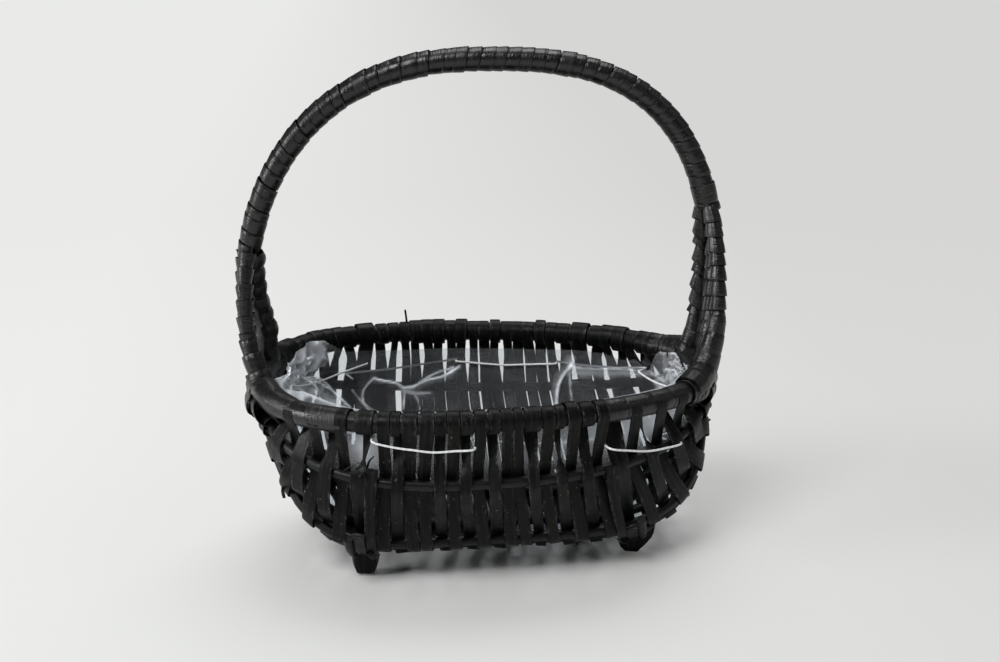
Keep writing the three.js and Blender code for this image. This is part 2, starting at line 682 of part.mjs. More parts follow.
// The liner: thin film laid along the wall inside the ribs, higher in its two gathered ends
const bump = (share, middle, spread) => Math.exp(-(((share - middle) / spread) ** 2));
const LEFT_CRUMPLE_PLACE = 0.1;
const RIGHT_CRUMPLE_PLACE = 0.92;
const CRUMPLE_SPREAD = 0.055;
const FILM_TOP_INSET = RIM_ROD_RADIUS + CLEARANCE + SPLINT_THICKNESS + FILM_TOP_GAP + FILM_THICKNESS / 2;
const FILM_BOTTOM_INSET = RIB_OFFSET + (SPLINT_THICKNESS + FILM_THICKNESS) / 2 + CLEARANCE;
const filmInset = (angle) => mix(FILM_TOP_INSET, FILM_BOTTOM_INSET, Math.sin(angle));

function liner(pierced) {
  const lengthSteps = 26;
  const roundSteps = 10;
  const first = FILM_GAP_TO_JOINT / RIM_LENGTH;
  const geometry = new THREE.BoxGeometry(lengthSteps, roundSteps, FILM_THICKNESS, lengthSteps, roundSteps, 1);
  const place = geometry.getAttribute("position");
  for (let i = 0; i < place.count; i += 1) {
    const share = mix(first, 1 - first, place.getX(i) / lengthSteps + 0.5);
    const angle = Math.PI * (0.5 + place.getY(i) / roundSteps);
    const row = Math.round(roundSteps * (angle / Math.PI));
    const moved = offWall(share, angle, -filmInset(angle) - place.getZ(i));
    if (row === 0 || row === roundSteps) {
      const left = LEFT_CRUMPLE * bump(share, LEFT_CRUMPLE_PLACE, CRUMPLE_SPREAD);
      const right = RIGHT_CRUMPLE * bump(share, RIGHT_CRUMPLE_PLACE, CRUMPLE_SPREAD);
      moved.z += FILM_LIP + left + right;
    }
    place.setXYZ(i, moved.x, moved.y, moved.z);
  }
  const cut = pierced.reduce((solid, hole) => solid.subtract(hole), toSolid(geometry));
  return piece("liner", fromSolid(cut), FILM_MATERIAL);
}

// The stitch: one thread, in and out through gaps between splints, all the way round
const stitchShare = (gap) => {
  const next = LEFT_SPLINTS.length + gap;
  return shareAt((SPLINTS[next - 1] + SPLINTS[next]) / 2);
};

// The wall's angle where it passes a height, in front or in the rear
function angleAtHeight(share, height, rear) {
  let low = 0;
  let high = Math.PI / 2;
  for (let i = 0; i < 30; i += 1) {
    const middle = (low + high) / 2;
    if (wallPoint(share, middle).z > height) {
      low = middle;
    } else {
      high = middle;
    }
  }
  return rear ? Math.PI - low : low;
}

function stitchHole({ share, height, isRear }) {
  const angle = angleAtHeight(share, height, isRear);
  const { point, out } = wallFrame(share, angle);
  const depth = 3;
  const hole = new THREE.CylinderGeometry(THREAD_RADIUS + CLEARANCE, THREAD_RADIUS + CLEARANCE, depth, 6);
  hole.applyQuaternion(new THREE.Quaternion().setFromUnitVectors(ACROSS, out));
  const middle = point.addScaledVector(out, -filmInset(angle));
  hole.translate(middle.x, middle.y, middle.z);
  return toSolid(hole);
}

function stitch(front, rear) {
  const beyondFilm = FILM_THICKNESS / 2 + CLEARANCE + THREAD_RADIUS + THREAD_SLACK;
  const points = [];
  // A point at a place, its offset outwards from the wall or, with none given, inside the film
  const add = ({ share, height, isRear }, offset) => {
    const angle = angleAtHeight(share, height, isRear);
    points.push(offWall(share, angle, offset ?? -filmInset(angle) - beyondFilm));
  };
  // A stretch that hangs between two places on one side
  const stretch = (from, to, offset) => {
    const steps = Math.max(2, Math.round((Math.abs(to.share - from.share) * RIM_LENGTH) / THREAD_STEP));
    for (let i = 1; i < steps; i += 1) {
      const sag = THREAD_SAG * Math.sin((Math.PI * i) / steps);
      const share = mix(from.share, to.share, i / steps);
      add({ share, height: mix(from.height, to.height, i / steps) - sag, isRear: from.isRear }, offset);
    }
  };
  const stitchAlong = (places, outer) => {
    places.forEach((place, i) => {
      const film = -filmInset(angleAtHeight(place.share, place.height, place.isRear));
      const stops = [undefined, film - 1, film + 1, outer];
      (i % 2 ? stops.reverse() : stops).forEach((offset) => add(place, offset));
      if (i < places.length - 1) {
        stretch(place, places[i + 1], i % 2 ? undefined : outer);
      }
    });
  };
  // Inside the film it turns round each end of the basket
  const roundEnd = (from, to, share) => {
    const before = { share, height: mix(from.height, to.height, 1 / 3), isRear: from.isRear };
    const after = { share, height: mix(from.height, to.height, 2 / 3), isRear: to.isRear };
    stretch(from, before);
    add(before);
    add(after);
    stretch(after, to);
  };
  const last = rear[rear.length - 1];
  const start = { ...last, height: last.height - THREAD_SAG };
  add({ ...start, share: start.share + shareAt(THREAD_TAIL) });
  add(start);
  roundEnd(start, front[0], shareAt(THREAD_END_TURN));
  stitchAlong(front, THREAD_OFFSET);
  roundEnd(front[front.length - 1], rear[0], 1 - shareAt(THREAD_END_TURN));
  stitchAlong(rear, THREAD_REAR_OFFSET);
  add({ ...last, share: last.share - shareAt(THREAD_TAIL / 2), height: last.height + THREAD_SAG });
  return piece("liner_stitch", rod(points, THREAD_RADIUS, 6), THREAD_MATERIAL);
}

const frontStitches = FRONT_STITCH_GAPS.map((gap, i) => {
  return { share: stitchShare(gap), height: FRONT_STITCH_HEIGHTS[i], isRear: false };
});
const rearStitches = REAR_STITCH_GAPS.map((gap) => {
  return { share: stitchShare(gap), height: REAR_STITCH_HEIGHT, isRear: true };
});

const group = new THREE.Group();
group.add(rimHoop());
RIBS.forEach((shape) => group.add(rib(shape)));
SPLINTS.forEach((place, index) => group.add(splint(place, index)));
HANDLE_RODS.forEach((shape) => group.add(handleRod(shape)));
group.add(handleWinding());
group.add(legWeave("leg_weave_left", LEFT_WINDING_END, 0));
group.add(legWeave("leg_weave_right", RIGHT_WINDING_END, 1));
group.add(earLashing("ear_lashing_left", Math.PI));
group.add(earLashing("ear_lashing_right", 0));
const leftFoot = {
  place: RIM_LENGTH / 2 - LEFT_SPLINTS[LEFT_FOOT_SPLINT - 1],
  legAngle: LEFT_FOOT_LEG_ANGLE,
  bendAngle: LEFT_FOOT_BEND_ANGLE,
  inner: 1,
};
const rightFoot = {
  place: RIM_LENGTH / 2 + RIGHT_SPLINTS[RIGHT_FOOT_SPLINT - 1],
  legAngle: RIGHT_FOOT_LEG_ANGLE,
  bendAngle: RIGHT_FOOT_BEND_ANGLE,
  inner: -1,
};
group.add(foot("foot_front_left", leftFoot, false));
group.add(foot("foot_front_right", rightFoot, false));
group.add(foot("foot_rear_left", leftFoot, true));
group.add(foot("foot_rear_right", rightFoot, true));
group.add(liner([...frontStitches, ...rearStitches].map(stitchHole)));
group.add(stitch(frontStitches, rearStitches));

const box = new THREE.Box3().setFromObject(group);
const middle = box.getCenter(new THREE.Vector3());
console.log("shifted by " + [middle.x, middle.y, box.min.z].map((value) => value.toFixed(3)).join(" "));
group.children.forEach((mesh) => mesh.geometry.translate(-middle.x, -middle.y, -box.min.z));

export default group;
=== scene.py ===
"""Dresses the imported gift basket: woven splints, wound handle, film liner and white stitch."""

import bisect
import math
import random

import bmesh
import bpy
from bpy.props import FloatProperty, FloatVectorProperty, IntProperty, PointerProperty
from mathutils import Matrix, Vector, noise


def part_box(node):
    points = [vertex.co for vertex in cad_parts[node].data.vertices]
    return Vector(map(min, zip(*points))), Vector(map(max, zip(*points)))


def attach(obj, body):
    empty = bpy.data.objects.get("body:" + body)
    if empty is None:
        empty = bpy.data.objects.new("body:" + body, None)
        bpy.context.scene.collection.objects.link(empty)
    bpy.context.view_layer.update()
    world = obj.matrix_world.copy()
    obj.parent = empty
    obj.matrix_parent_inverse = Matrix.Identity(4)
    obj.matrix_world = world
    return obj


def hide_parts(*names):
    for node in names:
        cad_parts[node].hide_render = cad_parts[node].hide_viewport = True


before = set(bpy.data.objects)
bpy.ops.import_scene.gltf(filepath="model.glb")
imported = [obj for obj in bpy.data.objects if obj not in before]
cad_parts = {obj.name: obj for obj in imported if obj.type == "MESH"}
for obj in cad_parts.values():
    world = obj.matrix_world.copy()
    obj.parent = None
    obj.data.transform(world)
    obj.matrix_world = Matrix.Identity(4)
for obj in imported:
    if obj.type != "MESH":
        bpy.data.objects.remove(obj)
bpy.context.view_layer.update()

bl_info = {
    "name": "Woven Gift Basket",
    "version": (1, 0, 0),
    "blender": (4, 5, 0),
    "location": "View3D > Sidebar > Basket",
    "description": "Woven splints, wound handle, film liner and stitch on a packed basket frame",
    "category": "Object",
}

MM = 0.001
BODY = "root"
ALONG = Vector((1, 0, 0))
ACROSS = Vector((0, 1, 0))
UP = Vector((0, 0, 1))
SEED = 7

# Rim, in millimetres, as in the solids
RIM_HALF_LENGTH = 128
RIM_HALF_WIDTH = 84.7
RIM_HEIGHT = 103
RIM_ROD_RADIUS = 5.6
RIM_SQUARENESS = 2.32
RIM_TAPER = 0.127

# Body, in millimetres, as in the solids
BODY_DEPTH = 93
SECTION_SQUARENESS = 2.65
LEFT_END_SQUARENESS = 7
RIGHT_END_SQUARENESS = 5.4
LEFT_RAKE = 0.28
RIGHT_RAKE = 0.09
RAKE_CURVE = 1.4
RIB_RADIUS = 2.9
RIBS = {  # angle round the body from the front rim in degrees, gap to the handle joint
    "rib_front_upper": (16.5, 26),
    "rib_front_lower": (54.5, 15),
    "rib_front_bottom": (69.5, 38),
    "rib_keel": (90, 15),
    "rib_rear_bottom": (110.5, 38),
    "rib_rear_lower": (125.5, 15),
    "rib_rear_upper": (163.5, 26),
}

# Woven splints, in millimetres, as in the solids
SPLINT_WIDTH = 5.2
MIDDLE_PITCH = 7.1
END_PITCH = 9.3
LASHING_WIDTH = 4.4
LASHING_PITCH = 5.5
LASHING_LOOPS = 3
CREST = 6  # how long a splint lies flat on a rib
NEAR_RIB = 28  # the first rib is near where it is closer to the rim than this
TUCK = 60  # degrees that a hook goes on round the rim, past its half turn
FIRST_COURSE = 1
SAME_COURSE_GAPS = (-5, 2)  # gaps from the middle with the same course on both sides
LEFT_FOOT_SPLINT = 9
RIGHT_FOOT_SPLINT = 10
CLEARANCE = 0.35

# Woven splints, in millimetres, in the scene alone
GAP = 0.2  # between pieces that touch
LEFT_LASHING_END = 98  # how far the smooth lashings on the front rim reach from the joints
RIGHT_LASHING_END = 112
SPLINT_LEAN = 1.3  # how far a splint leans aside between its ribs
SLANT = 0.045  # how far the end splints slant, as a share of the rim
SLANTED = (95, 45)  # distances from the joint where the slant begins and is full
WIDENED = (95, 50)  # the same for the width
LOOSE_BAND, LOOSE_BY = 25, 1.3  # a front band that stands off the rim, by its splint's number
FRONT_BANDS = {  # width and sideways shift of the hooked bands on the front rim, by splint number
    10: (9.2, 1.5), 11: (6.6, 0.5), 12: (4.8, -0.8), 13: (8.0, -0.5), 14: (7.4, 1.2), 15: (5.2, 1.2),
    16: (6.6, 0), 17: (6.6, 0), 18: (6.2, 0), 19: (5.6, 0.5), 20: (6.2, 0), 21: (4.4, -1.0),
    22: (8.8, -0.5), 23: (7.0, 0.7), 24: (4.8, 0), 25: (7.0, -1.0), 26: (7.3, 0.5), 27: (7.4, 1.2),
}
# Gaps that stand open between a splint and the next, by the first one's number. The others are shut
REAR_OPENINGS = {
    7: 1.2, 8: 5.5, 10: 1.6, 11: 2.6, 12: 3.6, 13: 0.8, 14: 3.2, 16: 3.0, 18: 2.8, 19: 0.9,
    21: 3.4, 23: 0.7, 25: 0.8, 26: 2.8, 29: 2.0, 30: 2.4, 32: 1.6, 34: 1.0,
}
FRONT_OPENINGS = {
    9: 1.4, 12: 0.6, 14: 1.6, 16: 0.7, 20: 0.6, 21: 0.7, 22: 1.4, 23: 0.9, 26: 0.9, 28: 1.5,
}
LOW_OPENINGS = {7: 0.8, 12: 2.6, 19: 0.9, 24: 0.9, 27: 0.8, 31: 1.5}
SHUT = -0.25
REAR_WAIST = 174.5  # degrees, between the last rib and the rear rim
FRONT_WAISTS = (0, 25, -40, 55, -65)  # turns of a splint in degrees, between the rim and the first rib
FOOT_WAIST = (2.8, 50)  # width and turn of the splint that the left foot stands astride
WIDER_AT_END = 0.42  # how much wider the end splints are, as a share
NARROWING = 1.25  # how fast a splint narrows where its neighbours stand closer
WIDEST = 1.35  # how far a splint fills an uneven gap, in middle pitches
# Loose ends of splint: the splint's number, their path (along the rim, angle, out, up) and width
STRAY_ENDS = (
    (13, ((1.6, 180, 0, 5), (1.3, 180, 0.5, 9), (0.7, 180, 1, 14.5)), 1.3),
    (10, ((2.2, 12, 1, 0), (3.6, 9.5, 3, 1), (6.2, 8.6, 4.5, 3)), 1.2),
    (10, ((3.2, 18, 3, 0), (3.4, 14, 5.5, 0), (1.2, 12.6, 5, 0), (-1, 14.5, 4.5, 0)), 1.6),
    (9, ((1.5, 14, 2.5, 0), (5.5, 11.5, 3.5, 0), (9.5, 9.5, 4, 0)), 0.9),
    (5, ((0, 50, 3.5, 0), (2.5, 47, 5, 0), (4.5, 48.5, 6, 0)), 2.0),
    (12, ((2, 66, 3.6, 0), (2.4, 72, 4.4, 0), (2.6, 76, 6, 0)), 1.4),
    (25, ((-2, 64, 3.6, 0), (-2.6, 70, 4.4, 0), (-2.2, 75, 6.5, 0)), 1.6),
)
STRAY_THICKNESS = 0.4

# Handle, in millimetres, as in the solids
HANDLE_LEFT_REACH = 134
HANDLE_RIGHT_REACH = 132.3
HANDLE_WIDEST_HEIGHT = 136
HANDLE_TOP_HEIGHT = 282.6
HANDLE_DRAW_IN = 5
LEFT_SHOULDER_SQUARENESS = 2.3
RIGHT_SHOULDER_SQUARENESS = 2.75
HANDLE_ROD_RADIUS = 2.6
ROD_SPREAD = 22
FRONT_ROD_OUT = 1
REAR_ROD_IN = 3.6
ROD_BEND_DOWN = 0.68
LEFT_WINDING_HEIGHT = 178
RIGHT_WINDING_HEIGHT = 201
BUNDLE_TURN = -80

# Handle, in millimetres, in the scene alone
LEG_PART = 0.2  # how much of each half is the leg below the widest place
LEG_DRAWN_IN = {"front": (7.5, 3.5), "middle": (4, 2), "rear": (12, 0)}  # left and right
BENT_ON_RIM = {  # where each bent leg lies: distance from the joint, how far over the rim's centre
    ("front", True): ((29, 4.5), (37, 3.4), (50, 1.2), (68, 0)),
    ("rear", True): ((27, 3.6), (37, 2.4), (48, 0.8), (58, 0)),
    ("front", False): ((26, 5.5), (33, 4.4), (42, 2.2), (54, 0)),
    ("rear", False): ((23, 5.0), (31, 3.4), (41, 1.4), (53, 0)),
}
BENT_ROD_RAISED = 2  # how far a bent rod ends over the line of its ribbon
ROUNDED = 0.7  # how round the ribbon runs over the three rods: 0 follows them, 1 is a circle
TURN_STEPS = 24
TURN_LAP = (1.02, 1.3)  # least and greatest width of a turn of ribbon, in pitches
TURN_SLIP = 1.1  # how far a turn slips along the handle
TURN_LIFTS = (0, 0, 0.05, 0.1, 0.1, 0.4)  # how far it stands off the rods
# The smooth turn at the winding's right end
END_CUFF = {"length": 11, "radius": 7.2, "flare": -0.3, "tilt": 0.5, "ridge": 0.004}

# Lashings, in millimetres
TURN_HEIGHT = 124  # where the legs begin to bend
# Ribbon down each leg: how far down its line it ends, a turn's length, radius, flare, bulge and tilt
LEG_TURNS = {
    ("front", True): (54, 8.6, 5.0, -1.5, 0.0, 0.6),
    ("middle", True): (72, 8.0, 5.2, -1.7, 0.2, 1.2),
    ("rear", True): (58, 9.2, 4.9, 0.7, 1.3, 2.6),
    ("front", False): (76, 8.9, 3.5, 1.4, 0.2, 0.8),
    ("middle", False): (98, 8.4, 3.9, 1.5, 0.2, 1.4),
    ("rear", False): (74, 8.9, 3.5, 2.4, 0.0, 3.0),
}
# Smooth turns down the bend: how far before the line's end each starts, length, radius, flare
BENT_TURNS = {
    ("front", True): (
        (67, 13, 5.4, -1.2), (58, 13, 6.2, -1.1), (48, 16, 7.2, -0.8), (36, 20, 7.7, -0.4),
        (22, 22, 7.6, -1.1),
    ),
    ("rear", True): ((52, 13, 6.3, 0.8), (42, 13, 7.1, 0.3), (31, 31, 7.4, -1.3)),
    ("front", False): (
        (62, 14, 4.6, 0.9), (52, 14, 5.6, 1.0), (41, 15, 6.8, 0.8), (30, 15, 7.9, 0.4),
        (18, 12, 8.5, -0.3),
    ),
    ("rear", False): ((54, 13, 4.6, 0.9), (44, 13, 5.6, 1.0), (34, 13, 6.8, 0.5), (24, 24, 7.3, -1.0)),
}
# Turns on the rim: start and length from the joint, radius, flare
JOINT_TURNS = ((2, 9, 6.9, 0.5), (10, 9, 7.0, 0.5), (18, 11, 7.3, 0.4))
RIM_TURNS = {
    ("front", True): ((62, 37, 6.7, 0.2),),
    ("rear", True): ((50, 4, 7.0, 0), (53, 4, 6.9, 0), (56, 5, 6.7, 0)),
    ("front", False): (
        (38, 4, 8.5, 0), (41, 4, 8.2, 0), (44, 4, 7.9, 0), (47, 4, 7.5, 0),
        (50, 17, 6.3, 0.1), (65, 15, 6.3, 0.1), (79, 18, 6.4, 0.1), (96, 16, 6.5, 0.1),
    ),
    ("rear", False): (
        (26, 4, 8.7, 0.3), (30, 4, 9.0, 0.3), (34, 4, 8.8, 0.3), (38, 5, 8.2, 0.2),
        (44, 4, 7.7, 0), (48, 4, 7.4, 0), (52, 5, 7.1, 0),
    ),
}
# Lower turns, which take in the first rib, and two more in front at the left, where they are loose
LOW_TURNS = ((14, 9, 6.6, 0.8), (21, 12, 6.8, 1.4))
LEFT_FLAPS = ((16, 15, 8.4, 1.8), (30, 13, 7.9, 1.9))
LOW_BY = 5  # how far under the rim's centre they are centred
LOOSE_RADIUS = 7  # a low turn wider than this hangs loose: it is ridged and tilted
RIM_STRETCH = 125  # how much of the rim the turns are laid along

# Feet, in millimetres, as in the solids
FOOT_RADIUS = 2.5
FOOT_FLAT = 0.5
FOOT_SHORT_LEG_ANGLE = 44
FEET = {  # splint, angle of the long leg's end, angle of the bend, side of the long leg
    "left": (LEFT_FOOT_SPLINT, 10, 68, 1),
    "right": (RIGHT_FOOT_SPLINT, 13.5, 76, -1),
}

# Feet, in millimetres, in the scene alone
FOOT_NARROWED = 0.85
# The flat end of splint that fills each foot's bend: height, width and shift to the right
FOOT_TONGUES = {
    "left": ((13, 14, 0), (9, 13.6, 0), (5.5, 12.4, 0), (3.2, 11, 0), (1.7, 9.5, 0)),
    "right": ((15, 22, 3.5), (11.5, 19, 3), (8, 15, 2), (5, 11, 1.2), (3, 8, 0.8), (1.7, 6, 0.5)),
}
TONGUE_ABOVE = (26, 14)  # degrees above the bend of its two stations on the wall
TONGUE_WIDTH = 7.0
TONGUE_THICKNESS = 3.4
TONGUE_OFF = 1.4  # off the ribs
TONGUE_OUT = 2.8  # past the cane's bend
LEG_WIDTHS = (6.8, 5.2)  # at its upper and lower end
LEG_THICKNESS = 1.2
LEG_OFF = (1.5, 2.2)
LEG_SAG = 3.6  # how far the leg sinks in between two ribs

# Liner and stitch, in millimetres, as in the solids
FILM_TOP_INSET = 8.6
FILM_BOTTOM_INSET = 4.9
FILM_GAP_TO_JOINT = 5.5
FILM_LIP = 2
THREAD_OFFSET = 5.2
THREAD_SAG = 2.4
THREAD_STEP = 11
THREAD_END_TURN = 30  # how near the joint it turns round the ends inside the film

# Liner and stitch, in millimetres, in the scene alone
# Gaps that the stitch goes through, counted from the middle one, and its heights there
FRONT_STITCHES = ((-8, 94), (-1, 89.5), (9, 83), (14, 76.5))
REAR_STITCHES = ((15, 89), (8, 86), (-1, 86), (-10, 81.5))
THREAD_OFF_FILM = (2.4, 5.8)  # how far inside the film it lies between the ends, and over the crumple
CRUMPLE_REACH = (96, 66)  # distances from the joint where the crumple begins under it and is full
THREAD_START = ((0, 3.8), (13, 6.4))  # its first end, from the last stitch: along the rim, up
THREAD_END = (3, -2.2)
FILM_STEPS = 340
FILM_ROWS = ((0, 0), (14, 12), (46, 140), (110, 180))  # row, angle: closer together where folds show
FILM_MAP = 0.26  # the film's girth on its map, in metres
SHINY_DEPTH, SHINY_FROM = 30, -30  # the film mirrors the room near the rim, from here to the rear
MM_PER_DEGREE = 1.66  # down the wall near the rim
CREASES = (  # directions, wave length, height
    (0.35, 15, 1.0), (1.45, 12, 0.8), (2.5, 8.5, 0.55), (0.95, 6, 0.35),
)
# How far the crumpled ends of the rear film reach: angle, share at the left, share at the right
CRUMPLED_TO = (
    (145, 0.25, 0.86), (150, 0.29, 0.85), (154, 0.285, 0.85), (159, 0.262, 0.85),
    (163, 0.235, 0.856), (165, 0.21, 0.862), (168, 0.155, 0.875), (169, 0.18, 0.88),
    (171, 0.208, 0.89), (173, 0.228, 0.9), (177, 0.235, 0.92), (180, 0.222, 0.935),
)
FOLDS = (  # painted highlights along folds in the rear film, which also raise the film there: places as a share of the rim and an angle, width, brightness
    (((0.325, 168), (0.345, 167), (0.37, 166), (0.383, 164)), 1.5, 0.75),
    (((0.383, 164), (0.4, 164.3), (0.425, 167), (0.45, 168), (0.47, 170), (0.485, 172)), 2.2, 0.95),
    (((0.385, 162.8), (0.405, 161.5), (0.432, 161.8)), 4.0, 0.5),
    (((0.41, 166), (0.44, 169.5), (0.475, 171.6)), 1.3, 0.6),
    (((0.385, 163), (0.386, 159), (0.385, 154)), 1.0, 0.6),
    (((0.405, 161), (0.412, 158), (0.415, 154)), 1.0, 0.5),
    (((0.325, 168), (0.308, 163), (0.311, 157), (0.33, 152)), 1.4, 0.6),
    (((0.695, 173), (0.68, 170), (0.665, 165), (0.655, 157)), 2.6, 0.9),
    (((0.69, 171), (0.686, 164), (0.683, 157)), 1.3, 0.4),
    (((0.69, 172), (0.74, 171.7), (0.8, 171.8), (0.835, 171)), 1.5, 0.5),
    (((0.155, 168), (0.2, 165.5), (0.235, 163), (0.262, 159), (0.285, 154.5)), 2.0, 0.9),
    (((0.16, 167.5), (0.2, 163), (0.22, 156)), 3.0, 0.95),
    (((0.16, 167.8), (0.215, 166.5), (0.25, 161), (0.275, 156)), 1.3, 0.7),
    (((0.285, 163), (0.31, 157), (0.335, 153)), 1.0, 0.45),
    (((0.16, 168), (0.19, 172), (0.2, 178)), 1.6, 0.5),
    (((0.86, 170), (0.885, 165), (0.895, 160)), 1.4, 0.6),
    (((0.9, 172), (0.93, 168), (0.94, 160)), 1.6, 0.6),
)
FOLD_CORE = 0.62  # the least half width of a fold's painted highlight core

# Stage
CAMERA_AZIMUTH = -4.54
CAMERA_ELEVATION = 16.36
CAMERA_DISTANCE = 0.9
CAMERA_TARGET = (9.70, 0, 127.65)  # in millimetres from the rim's middle
CAMERA_LENS = 56.45
FLOOR_RADIUS = 7.0
LIGHTS = {  # round from the front to the right, up, how broad, in degrees, and strength
    "light_key": (-38, 52, 24, 1.8),
    "light_left": (-78, 14, 20, 1.65),
    "light_top": (165, 64, 40, 1.35),
    "light_side": (80, 35, 30, 0.1),
}
ROOM_LIGHT = 0.12

RIM_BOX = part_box("rim_hoop")
MIDDLE = Vector(((RIM_BOX[0].x + RIM_BOX[1].x) / 2, 0, 0))


def in_frame(point):
    """A place in millimetres from the rim's middle, in metres in the frame."""
    return MIDDLE + point * MM


def mix(a, b, share):
    return a + (b - a) * share


def ramp(value, start=0, end=1):
    """0 up to the start, 1 from the end on, and straight between them."""
    return min(max((value - start) / (end - start), 0), 1)


def bell(value, middle, spread):
    return math.exp(-(((value - middle) / spread) ** 2))


def halved(low, high, steps, is_before):
    """The place between low and high up to which is_before holds, by halving."""
    for _ in range(steps):
        middle = (low + high) / 2
        low, high = (middle, high) if is_before(middle) else (low, middle)
    return low


def shaped(value, squareness):
    return math.copysign(abs(value) ** (2 / squareness), value)


def facing(degrees, rear):
    """An angle on the front wall, or its mirror image on the rear one."""
    return 180 - degrees if rear else degrees


def colour(code):
    """An sRGB hex code as a linear colour."""
    channels = [int(code[i : i + 2], 16) / 255 for i in (1, 3, 5)]
    return [c / 12.92 if c <= 0.04045 else ((c + 0.055) / 1.055) ** 2.4 for c in channels]


def wander(*place):
    """A smooth number from -1 to 1 that depends on a place alone."""
    x, y, z = (*place, 0, 0)[:3]
    return noise.noise(Vector((x, y + SEED, z)))


class Route:
    """A line through points, asked for a place by its share of the length."""

    def __init__(self, points):
        self.points = points
        self.lengths = [0.0]
        for a, b in zip(points, points[1:]):
            self.lengths.append(self.lengths[-1] + (b - a).length)
        self.length = self.lengths[-1]

    def at(self, share):
        reach = ramp(share) * self.length
        i = min(max(bisect.bisect_left(self.lengths, reach), 1), len(self.points) - 1)
        step = self.lengths[i] - self.lengths[i - 1]
        return self.points[i - 1].lerp(self.points[i], (reach - self.lengths[i - 1]) / (step or 1))

    def heading(self, share, step=0.002):
        return (self.at(share + step) - self.at(share - step)).normalized()


# The wall: lines run from the left handle joint to the right one, each at its angle in degrees
WALL_STEPS = 240
wall_lines = {}


def wall_place(t, degrees):
    angle = math.radians(degrees)
    turn = math.pi * t
    end_squareness = LEFT_END_SQUARENESS if t < 0.5 else RIGHT_END_SQUARENESS
    squareness = mix(RIM_SQUARENESS, end_squareness, math.sin(angle) ** 2)
    size = (abs(math.cos(turn)) ** squareness + abs(math.sin(turn)) ** squareness) ** (-1 / squareness)
    along = -math.cos(turn) * size
    reach = math.sin(turn) * size
    half_width = RIM_HALF_WIDTH * (1 - RIM_TAPER * along)
    depth = shaped(math.sin(angle), SECTION_SQUARENESS) * reach
    rake = (LEFT_RAKE if t < 0.5 else RIGHT_RAKE) * abs(depth) ** RAKE_CURVE
    x = RIM_HALF_LENGTH * along * (1 - rake)
    y = -half_width * shaped(math.cos(angle), SECTION_SQUARENESS) * reach
    return Vector((x, y, RIM_HEIGHT - BODY_DEPTH * depth))


def wall_line(degrees):
    key = round(degrees * 4)
    if key not in wall_lines:
        wall_lines[key] = Route([wall_place(i / WALL_STEPS, key / 4) for i in range(WALL_STEPS + 1)])
    return wall_lines[key]


def wall_point(share, degrees):
    return wall_line(degrees).at(share)


def wall_frame(share, degrees):
    """The wall's point, its direction along the basket and its outward direction."""
    along = wall_line(degrees).heading(share)
    down = (wall_point(share, degrees + 1) - wall_point(share, degrees - 1)).normalized()
    return wall_point(share, degrees), along, down.cross(along).normalized()


def off_wall(share, degrees, offset):
    point, _, out = wall_frame(share, degrees)
    return point + out * offset


RIM_LENGTH = wall_line(0).length


def rim_place(turn):
    lap = (turn % (2 * math.pi)) / math.pi
    return wall_point(1 - lap, 180) if lap < 1 else wall_point(lap - 1, 0)


# Meshes: a grid is laid on a surface, in rows of stations
TONE_SHIFT = 3.7  # how far a piece's tone shifts its map, in metres, so that like pieces differ


def smooth_run(controls, spacing):
    """Stations every few millimetres on a smooth line through control stations.

    A station is a list that starts with its point; the other numbers and vectors are mixed.
    """
    stations = []
    for i in range(len(controls) - 1):
        before, start, end, after = (controls[min(max(i + k, 0), len(controls) - 1)] for k in (-1, 0, 1, 2))
        span = (end[0] - start[0]).length
        lead = (end[0] - before[0]) * (span / max((start[0] - before[0]).length + span, 0.01))
        tail = (after[0] - start[0]) * (span / max((after[0] - end[0]).length + span, 0.01))
        steps = max(1, round(span / spacing))
        for k in range(steps + (i == len(controls) - 2)):
            t = k / steps
            blend = (
                start[0] * (2 * t**3 - 3 * t**2 + 1)
                + lead * (t**3 - 2 * t**2 + t)
                + end[0] * (3 * t**2 - 2 * t**3)
                + tail * (t**3 - t**2)
            )
            stations.append([blend] + [mix(a, b, t) for a, b in zip(start[1:], end[1:])])
    return stations


def smooth_line(points, spacing):
    return [point for (point,) in smooth_run([[point] for point in points], spacing)]


def flat_section(width, thickness):
    """A flat strip's outline: places across and out, and how near the strip's edge each is."""
    upper = [(-0.5, 0, 1), (-0.47, 0.42, 0.8), (-0.25, 0.54, 0), (0.25, 0.54, 0), (0.47, 0.42, 0.8)]
    lower = [(-a, -b, edge) for a, b, edge in upper]
    return [(a * width, b * thickness, edge) for a, b, edge in upper + lower]


def round_section(radius, sides):
    turns = [2 * math.pi * i / sides for i in range(sides)]
    return [(radius * math.cos(turn), radius * math.sin(turn), 0) for turn in turns]


def laid_grid(bm, steps, rows, place, uv_size, tone=0.5):
    """Adds a grid to bm. place(i, j) gives a vertex's point and its edge value."""
    uv = bm.loops.layers.uv.get("UVMap") or bm.loops.layers.uv.new("UVMap")
    marks = [bm.verts.layers.float.get(key) or bm.verts.layers.float.new(key) for key in ("tone", "edge")]
    patch = bmesh.ops.create_grid(bm, x_segments=steps, y_segments=rows, size=0.5)
    offset = tone * TONE_SHIFT
    for face in {face for vert in patch["verts"] for face in vert.link_faces}:
        for loop in face.loops:
            x, y = loop.vert.co.xy
            loop[uv].uv = ((x + 0.5) * uv_size[0] + offset, (y + 0.5) * uv_size[1] + offset)
    for vert in patch["verts"]:
        i, j = round((vert.co.x + 0.5) * steps), round((vert.co.y + 0.5) * rows)
        point, edge = place(i, j)
        vert.co = in_frame(point)
        vert[marks[0]] = tone
        vert[marks[1]] = edge
    return patch["verts"]


